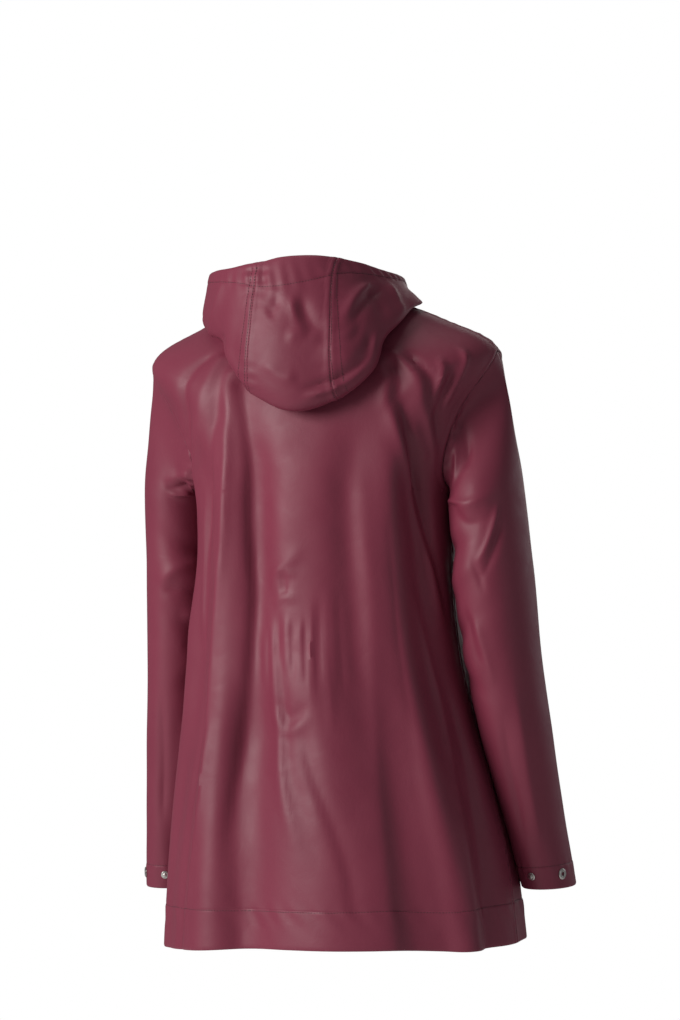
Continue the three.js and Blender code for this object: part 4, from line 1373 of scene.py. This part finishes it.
HOOD_CREASES = (
    Crease(8, -4.5, ((-12, 0.9), (-13.5, 0.84), (-16, 0.79), (-19, 0.755)), steep=0.3),
    Crease(5, 3, ((-8, 0.9), (-10, 0.83), (-12.5, 0.775))),
    Crease(5, 2.2, ((-4, 0.80), (-10, 0.785), (-18, 0.76))),
    Crease(6, -2.8, ((-2.5, 0.9), (-0.5, 0.87), (2.5, 0.845))),
    Crease(12, -2.6, ((12, 0.86), (16, 0.76), (15, 0.66), (11, 0.58))),
    Crease(7, 4, ((-22, 0.775), (-30, 0.79), (-40, 0.825), (-54, 0.875))),
    Crease(8, -4, ((-22, 0.73), (-32, 0.75), (-44, 0.79), (-58, 0.85))),
    Crease(9, 4, ((-15, 0.745), (-20, 0.69), (-21, 0.61))),
    Crease(8, -4, ((-25, 0.735), (-29, 0.67), (-28, 0.59))),
    Crease(5, -3, ((-5, 0.64), (-12, 0.62), (-22, 0.6), (-30, 0.61))),
    Crease(5, 2.6, ((-6, 0.605), (-14, 0.58), (-24, 0.565))),
    Crease(6, 1.8, ((4, 0.72), (-2, 0.68), (-8, 0.67))),
    Crease(8, 3, ((32, 0.98), (36, 0.8), (40, 0.6), (44, 0.45))),
    Crease(8, -3, ((24, 0.7), (30, 0.58), (36, 0.46))),
    Crease(8, -3, ((-50, 0.92), (-46, 0.76), (-42, 0.62))),
    Crease(8, 3, ((-66, 0.9), (-60, 0.72), (-55, 0.55))),
    Crease(8, -3, ((66, 0.9), (62, 0.7), (56, 0.52))),
    Crease(7, 2.4, ((96, 0.9), (92, 0.7), (88, 0.5))),
    Crease(7, -2.4, ((-98, 0.9), (-94, 0.7), (-88, 0.5))),
    Crease(8, 2.4, ((132, 0.9), (126, 0.7), (120, 0.5))),
    Crease(8, -2.4, ((-134, 0.9), (-128, 0.7), (-122, 0.5))),
)


@dataclass
class HoodShell:
    """The hood's three panels, laid back in a pouch, with its seams and rim casing."""

    form: HoodForm
    wardrobe: Wardrobe
    front_angle: float = 176.0
    left_seam: tuple[float, float] = (10.0, 10.0)
    right_seam: tuple[float, float] = (-14.5, -34.0)
    seam_turn: float = 0.5
    casing: float = 16.0
    fold_to_rim: float = 205.0
    height: float = 320.0
    mm_per_degree: float = 2.1
    seam_band: float = 7.0
    walls: dict[str, Wall] = field(default_factory=dict)

    def __post_init__(self) -> None:
        """Lay out the rows from the rim to the neck seam."""
        self.casing_v = 1 - self.casing / self.fold_to_rim
        self.v = np.concatenate([
            1 - np.array([0.0, 0.0015, 0.004, 0.008, 0.014]),
            np.linspace(0.978, self.casing_v + 0.014, 10),
            np.linspace(self.casing_v + 0.01, self.casing_v - 0.01, 7),
            np.linspace(self.casing_v - 0.014, 0.0, 86),
        ])

    def seam_angle(self, seam: tuple[float, float], v: Array) -> Array:
        """A long seam's angle at v, from its angles at the fold and at the rim."""
        return mix(seam[0], seam[1], np.clip((v - self.seam_turn) / (1 - self.seam_turn), 0, 1) ** 2)

    def build(self) -> None:
        """Make the three panels and sew them."""
        left = self.seam_angle(self.left_seam, self.v)
        right = self.seam_angle(self.right_seam, self.v)
        front = np.full_like(self.v, self.front_angle)
        panels = (("hood_centre", right, left, 40, (0.13, 0.36), 0.030),
                  ("hood_left", left, front, 110, (0.34, 0.12), 0.037),
                  ("hood_right", -front, right, 110, (0.34, 0.12), 0.037))
        for node, start, end, columns, cut, area in panels:
            wall = self.panel(node, start, end, columns)
            self.wardrobe.dress_cloth(wall.piece, node)
        self.stitch()

    def panel(self, node: str, start: Array, end: Array, columns: int) -> Wall:
        """Make one panel between two edges given as angles in each row."""
        close = EDGE_STEPS / self.mm_per_degree
        first = start[:, None] + close
        last = end[:, None] - close[::-1]
        share = np.linspace(0, 1, columns)[1:-1]
        angle = np.concatenate([first, mix(first[:, -1:], last[:, :1], share[None]), last], axis=1)
        base = self.form.point(angle, self.v[:, None])
        grid_v = np.broadcast_to(self.v[:, None], angle.shape)
        wall = Wall.sewn(f"{node}_cloth", base, self.relief(base, angle, grid_v), CLOTH, flip=False)
        self.walls[node] = wall
        return wall

    def relief(self, base: Array, angle: Array, v: Array) -> Array:
        """Creases, seam bands, the rim's casing and slow unevenness."""
        free = ease((v - 0.3) / 0.15)
        around = angle * self.mm_per_degree
        way = v * self.height
        height = 0.7 * drift(around, way, 34.0, 0.5) + 0.35 * drift(around, way, 15.0, 1.9)
        for crease in HOOD_CREASES:
            height = height + crease.height(angle, v, (self.mm_per_degree, self.height))
        height = height * free
        down = np.linspace(0.4, 1, 200)
        for edges, seed in ((self.left_seam, 0.4), (self.right_seam, 1.7)):
            line = self.form.point(self.seam_angle(edges, down), down)
            seam = Seam(line, band=self.seam_band, pitch=13.0, pucker_height=0.6, seed=seed, groove=0.5)
            height = height + seam.relief(base) * free
        below = (self.casing_v - v) * self.fold_to_rim
        casing = 0.5 * ease((1.5 - below) / 3) - 0.45 * bell(below / 1.1)
        casing = casing + 0.8 * pucker(around + 0.4 * below, 15.0, 0.2) * bell((below + 4) / 8)
        edge = -0.9 * bell((1 - v) * self.fold_to_rim / 1.2)
        return height + (casing + edge) * ease((v - 0.6) / 0.1)

    def stitch(self) -> None:
        """Sew the rim's casing and the two long seams."""
        thread = Stitching("hood_stitching")
        left, right = (float(self.seam_angle(edges, self.casing_v))
                       for edges in (self.left_seam, self.right_seam))
        spans = {"hood_centre": (right + 0.5, left - 0.5),
                 "hood_left": (left + 0.5, self.front_angle - 1),
                 "hood_right": (-self.front_angle + 1, right - 0.5)}
        for node, (start, end) in spans.items():
            angle = np.linspace(start, end, 160)
            thread.sew(self.walls[node], self.form.point(angle, self.casing_v))
        v = np.linspace(0.36, 0.985, 160)
        for node, edges, way in (("hood_left", self.left_seam, 1), ("hood_right", self.right_seam, -1),
                                 ("hood_centre", self.left_seam, -1), ("hood_centre", self.right_seam, 1)):
            for inset in (0.9, self.seam_band - 1.0):
                if node == "hood_centre" and inset > 2:
                    continue
                angle = self.seam_angle(edges, v) + way * inset / self.mm_per_degree
                thread.sew(self.walls[node], self.form.point(angle, v))
        piece = thread.build()
        piece.data.materials.append(self.wardrobe.thread)
        self.wardrobe.join(piece, "coated_cloth")


class SnapKind(Enum):
    """The three kinds of snap parts, as outlines of radius and height off the cloth."""

    CAP = ((0, 1.9), (2.2, 1.85), (3.6, 1.7), (4.8, 1.35), (5.6, 0.95), (5.95, 0.6), (5.9, 0.3), (5.4, 0.0),
           (0, 0.0))
    STUD = ((0, 2.85), (1.3, 2.8), (2.0, 2.5), (2.3, 2.05), (2.2, 1.6), (1.95, 1.1), (2.2, 0.85), (3.4, 0.8),
            (4.3, 0.65), (4.7, 0.4), (4.65, 0.12), (4.3, 0.0), (0, 0.0))
    SOCKET = ((2.3, 0.1), (2.25, 1.0), (2.5, 1.6), (3.1, 1.85), (4.2, 1.9), (5.3, 1.6), (6.1, 1.1),
              (6.45, 0.65), (6.3, 0.2), (5.9, 0.0), (2.6, 0.0), (2.3, 0.1))


@dataclass
class Snaps:
    """The snap parts, turned and seated where their nodes are."""

    wardrobe: Wardrobe
    sides: int = 48

    def turn(self, node: str, kind: SnapKind, out: Array, wall_seat: Array) -> None:
        """Turn one snap part about the way out of the cloth.

        Args:
            node: The node it stands for.
            kind: Its outline.
            out: The way out of the cloth.
            wall_seat: The middle of its seat, in millimetres.
        """
        outline = np.array(kind.value, dtype=float)
        spin = np.linspace(0, 2 * math.pi, self.sides, endpoint=False)
        places = np.stack([outline[:, :1] * np.cos(spin), outline[:, :1] * np.sin(spin),
                           np.repeat(outline[:, 1:], self.sides, axis=1)], axis=-1)
        rows = len(outline)
        faces = [[i * self.sides + j, (i + 1) * self.sides + j, (i + 1) * self.sides + (j + 1) % self.sides,
                  i * self.sides + (j + 1) % self.sides] for i in range(rows - 1) for j in range(self.sides)]
        data = bpy.data.meshes.new(f"{node}_metal")
        data.from_pydata((places.reshape(-1, 3) * MM).tolist(), [], faces)
        turn = Vector((0, 0, 1)).rotation_difference(Vector(out)).to_matrix().to_4x4()
        data.transform(Matrix.Translation(Vector(wall_seat) * MM) @ turn)
        made = bpy.data.objects.new(f"{node}_metal", data)
        bpy.context.scene.collection.objects.link(made)
        clean_mesh(data)
        data.materials.append(self.wardrobe.metal)
        self.wardrobe.join(made, "snap_metal", node)

    def on_placket(self, body: BodyForm, top: float = 40.0, pitch: float = 116.0, count: int = 6) -> None:
        """Turn the caps down the placket."""
        lift = LAY_GAP + 0.5 + 2 * 1.2 + PLACKET_CLOTH
        for index in range(count):
            s = np.array([top + index * pitch])
            angle = np.array([180.0])
            out = body.normal(angle, s)[0]
            self.turn(f"placket_snap_{index + 1}", SnapKind.CAP, out, body.point(angle, s)[0] + out * lift)

    def on_cuff(self, sleeve: SleeveForm, word: str, t: float = 0.963) -> None:
        """Turn a cuff's stud and socket."""
        for kind, angle in ((SnapKind.STUD, 101.0), (SnapKind.SOCKET, 36.0)):
            here = sleeve.tube(np.array([angle, angle - 1, angle + 1, angle, angle]),
                               np.array([t, t, t, t - 0.01, t + 0.01]))
            out = unit(np.cross(here[4] - here[3], here[2] - here[1])) * sleeve.side
            self.turn(f"cuff_{kind.name.lower()}_{word}", kind, out, here[0] + out * (LAY_GAP + 0.5))


class Tone(Enum):
    """The studio's colours."""

    KEY = (1.0, 0.97, 0.94)
    FILL = (0.93, 0.96, 1.0)
    PAPER = (0.93, 0.93, 0.93)
    WHITE = (1.0, 1.0, 1.0)


@dataclass(frozen=True)
class SoftLight:
    """A square studio light, placed by the camera's right, nearness and height, in metres."""

    name: str
    right: float
    near: float
    up: float
    size: float
    watts: float
    tone: Tone = Tone.KEY


SOFT_LIGHTS = (
    SoftLight("key_light", -2.6, 1.7, 0.9, 1.5, 95.0),
    SoftLight("top_light", -0.4, -0.2, 2.6, 1.8, 14.0),
    SoftLight("fill_light", 2.6, 1.6, 0.2, 1.8, 4.0, Tone.FILL),
    SoftLight("edge_light", 2.0, -1.3, 0.3, 0.9, 2.5, Tone.FILL),
    SoftLight("front_light", 1.2, -3.2, 1.2, 2.2, 16.0),
)


@dataclass
class Studio:
    """A plain floor, soft lights, a white surround and the camera."""

    view_angle: float = 18.0
    distance: float = 3.5
    height: float = -0.246
    sideways: float = 0.0215
    lens: float = 105.58
    floor_z: float = -1.40
    floor_radius: float = 2.6

    def __post_init__(self) -> None:
        """Work out the camera's own directions."""
        turn = math.radians(self.view_angle)
        self.right = Vector((-math.cos(turn), -math.sin(turn), 0))
        self.ahead = Vector((math.sin(turn), -math.cos(turn), 0))

    def build(self) -> None:
        """Make everything round the coat."""
        self.camera()
        self.floor()
        self.surround()
        for light in SOFT_LIGHTS:
            self.lamp(light)

    def camera(self) -> None:
        """Level with the coat's middle, behind it and a little to its right."""
        data = bpy.data.cameras.new("camera")
        data.lens = self.lens
        data.sensor_width = 36.0
        camera = bpy.data.objects.new("camera", data)
        bpy.context.scene.collection.objects.link(camera)
        camera.location = self.right * self.sideways - self.ahead * self.distance
        camera.location.z = self.height
        camera.rotation_euler = self.ahead.to_track_quat("-Z", "Y").to_euler()
        bpy.context.scene.camera = camera

    def lamp(self, light: SoftLight) -> None:
        """Hang one soft light, aimed at the coat's middle."""
        data = bpy.data.lights.new(light.name, "AREA")
        data.shape = "SQUARE"
        data.size = light.size
        data.energy = light.watts
        data.color = light.tone.value
        made = bpy.data.objects.new(light.name, data)
        bpy.context.scene.collection.objects.link(made)
        aim = Vector((0, 0, -0.38))
        made.location = aim + self.right * light.right - self.ahead * light.near + Vector((0, 0, light.up))
        made.rotation_euler = (aim - made.location).to_track_quat("-Z", "Y").to_euler()
        made.visible_camera = False

    def floor(self) -> None:
        """A round pale floor that fades into the surround."""
        rings = 24
        spin = np.linspace(0, 2 * math.pi, 96, endpoint=False)
        radii = np.linspace(self.floor_radius / rings, self.floor_radius, rings)
        vertices = [(r * math.cos(a), r * math.sin(a), self.floor_z) for r in radii for a in spin]
        faces = [[i * 96 + j, (i + 1) * 96 + j, (i + 1) * 96 + (j + 1) % 96, i * 96 + (j + 1) % 96]
                 for i in range(rings - 1) for j in range(96)]
        faces.append(list(range(96)))
        data = bpy.data.meshes.new("floor")
        data.from_pydata(vertices, [], faces)
        data.materials.append(self.floor_material())
        made = bpy.data.objects.new("floor", data)
        bpy.context.scene.collection.objects.link(made)

    def floor_material(self) -> bpy.types.Material:
        """Pale paper, clear towards its rim and from below."""
        made = bpy.data.materials.new("floor_paper")
        made.use_nodes = True
        nodes = NodeTree(made.node_tree)
        place = nodes.add("ShaderNodeTexCoord").outputs["Object"]
        away = nodes.add("ShaderNodeVectorMath", {"operation": "LENGTH"})
        nodes.set(away, 0, place)
        fade = nodes.add("ShaderNodeMapRange", {"interpolation_type": "SMOOTHSTEP"},
                         Value=away.outputs["Value"], From_Min=0.55 * self.floor_radius + 1.0,
                         From_Max=math.hypot(self.floor_radius, self.floor_z) * 0.98, To_Min=0.0, To_Max=1.0)
        mottle = nodes.add("ShaderNodeTexNoise", Vector=place, Scale=3.0, Detail=2.0)
        paper = nodes.add("ShaderNodeMapRange", Value=mottle.outputs["Fac"], To_Min=0.82, To_Max=0.86)
        surface = nodes.add("ShaderNodeBsdfPrincipled", Base_Color=paper.outputs["Result"], Roughness=0.8)
        below = nodes.add("ShaderNodeNewGeometry").outputs["Backfacing"]
        hidden = nodes.add("ShaderNodeMath", {"operation": "MAXIMUM"})
        nodes.set(hidden, 0, fade.outputs["Result"])
        nodes.set(hidden, 1, below)
        clear = nodes.add("ShaderNodeBsdfTransparent")
        blend = nodes.add("ShaderNodeMixShader")
        nodes.set(blend, 0, hidden.outputs[0])
        nodes.set(blend, 1, surface.outputs[0])
        nodes.set(blend, 2, clear.outputs[0])
        nodes.add("ShaderNodeOutputMaterial", Surface=blend.outputs[0])
        return made

    def surround(self) -> None:
        """White to the camera, and softer as light on the cloth."""
        world = bpy.data.worlds.new("surround")
        world.use_nodes = True
        bpy.context.scene.world = world
        bpy.context.scene.view_settings.view_transform = "Standard"
        nodes = NodeTree(world.node_tree)
        seen = nodes.add("ShaderNodeBackground", Color=rgba(Tone.WHITE.value), Strength=1.0)
        felt = nodes.add("ShaderNodeBackground", Color=rgba(Tone.PAPER.value), Strength=0.17)
        ray = nodes.add("ShaderNodeLightPath")
        blend = nodes.add("ShaderNodeMixShader")
        nodes.set(blend, 0, ray.outputs["Is Camera Ray"])
        nodes.set(blend, 1, felt.outputs[0])
        nodes.set(blend, 2, seen.outputs[0])
        nodes.add("ShaderNodeOutputWorld", Surface=blend.outputs[0])


def clean_mesh(data: bpy.types.Mesh) -> None:
    """Merge doubled points, face the mesh outwards and smooth it."""
    work = bmesh.new()
    work.from_mesh(data)
    bmesh.ops.remove_doubles(work, verts=work.verts, dist=1e-6)
    bmesh.ops.recalc_face_normals(work, faces=work.faces)
    work.to_mesh(data)
    work.free()
    data.polygons.foreach_set("use_smooth", np.ones(len(data.polygons), dtype=bool))
    data.set_sharp_from_angle(angle=math.radians(42))
    data.update()


def main() -> None:
    """Build the coat, then the studio round it."""
    logging.basicConfig(level=logging.INFO, format="%(name)s %(message)s")
    wardrobe = Wardrobe()
    body = BodyForm()
    BodyShell(body, wardrobe).build()
    SleeveShell(SleeveForm(body, LEFT_SLEEVE, 1), wardrobe, "left", LEFT_SLEEVE_CREASES).build()
    SleeveShell(SleeveForm(body, RIGHT_SLEEVE, -1), wardrobe, "right", RIGHT_SLEEVE_CREASES).build()
    HoodShell(HoodForm(body), wardrobe).build()
    snaps = Snaps(wardrobe)
    snaps.on_placket(body)
    for word, table, side in (("left", LEFT_SLEEVE, 1), ("right", RIGHT_SLEEVE, -1)):
        snaps.on_cuff(SleeveForm(body, table, side), word)
    Studio().build()


if __name__ == "__main__":
    main()
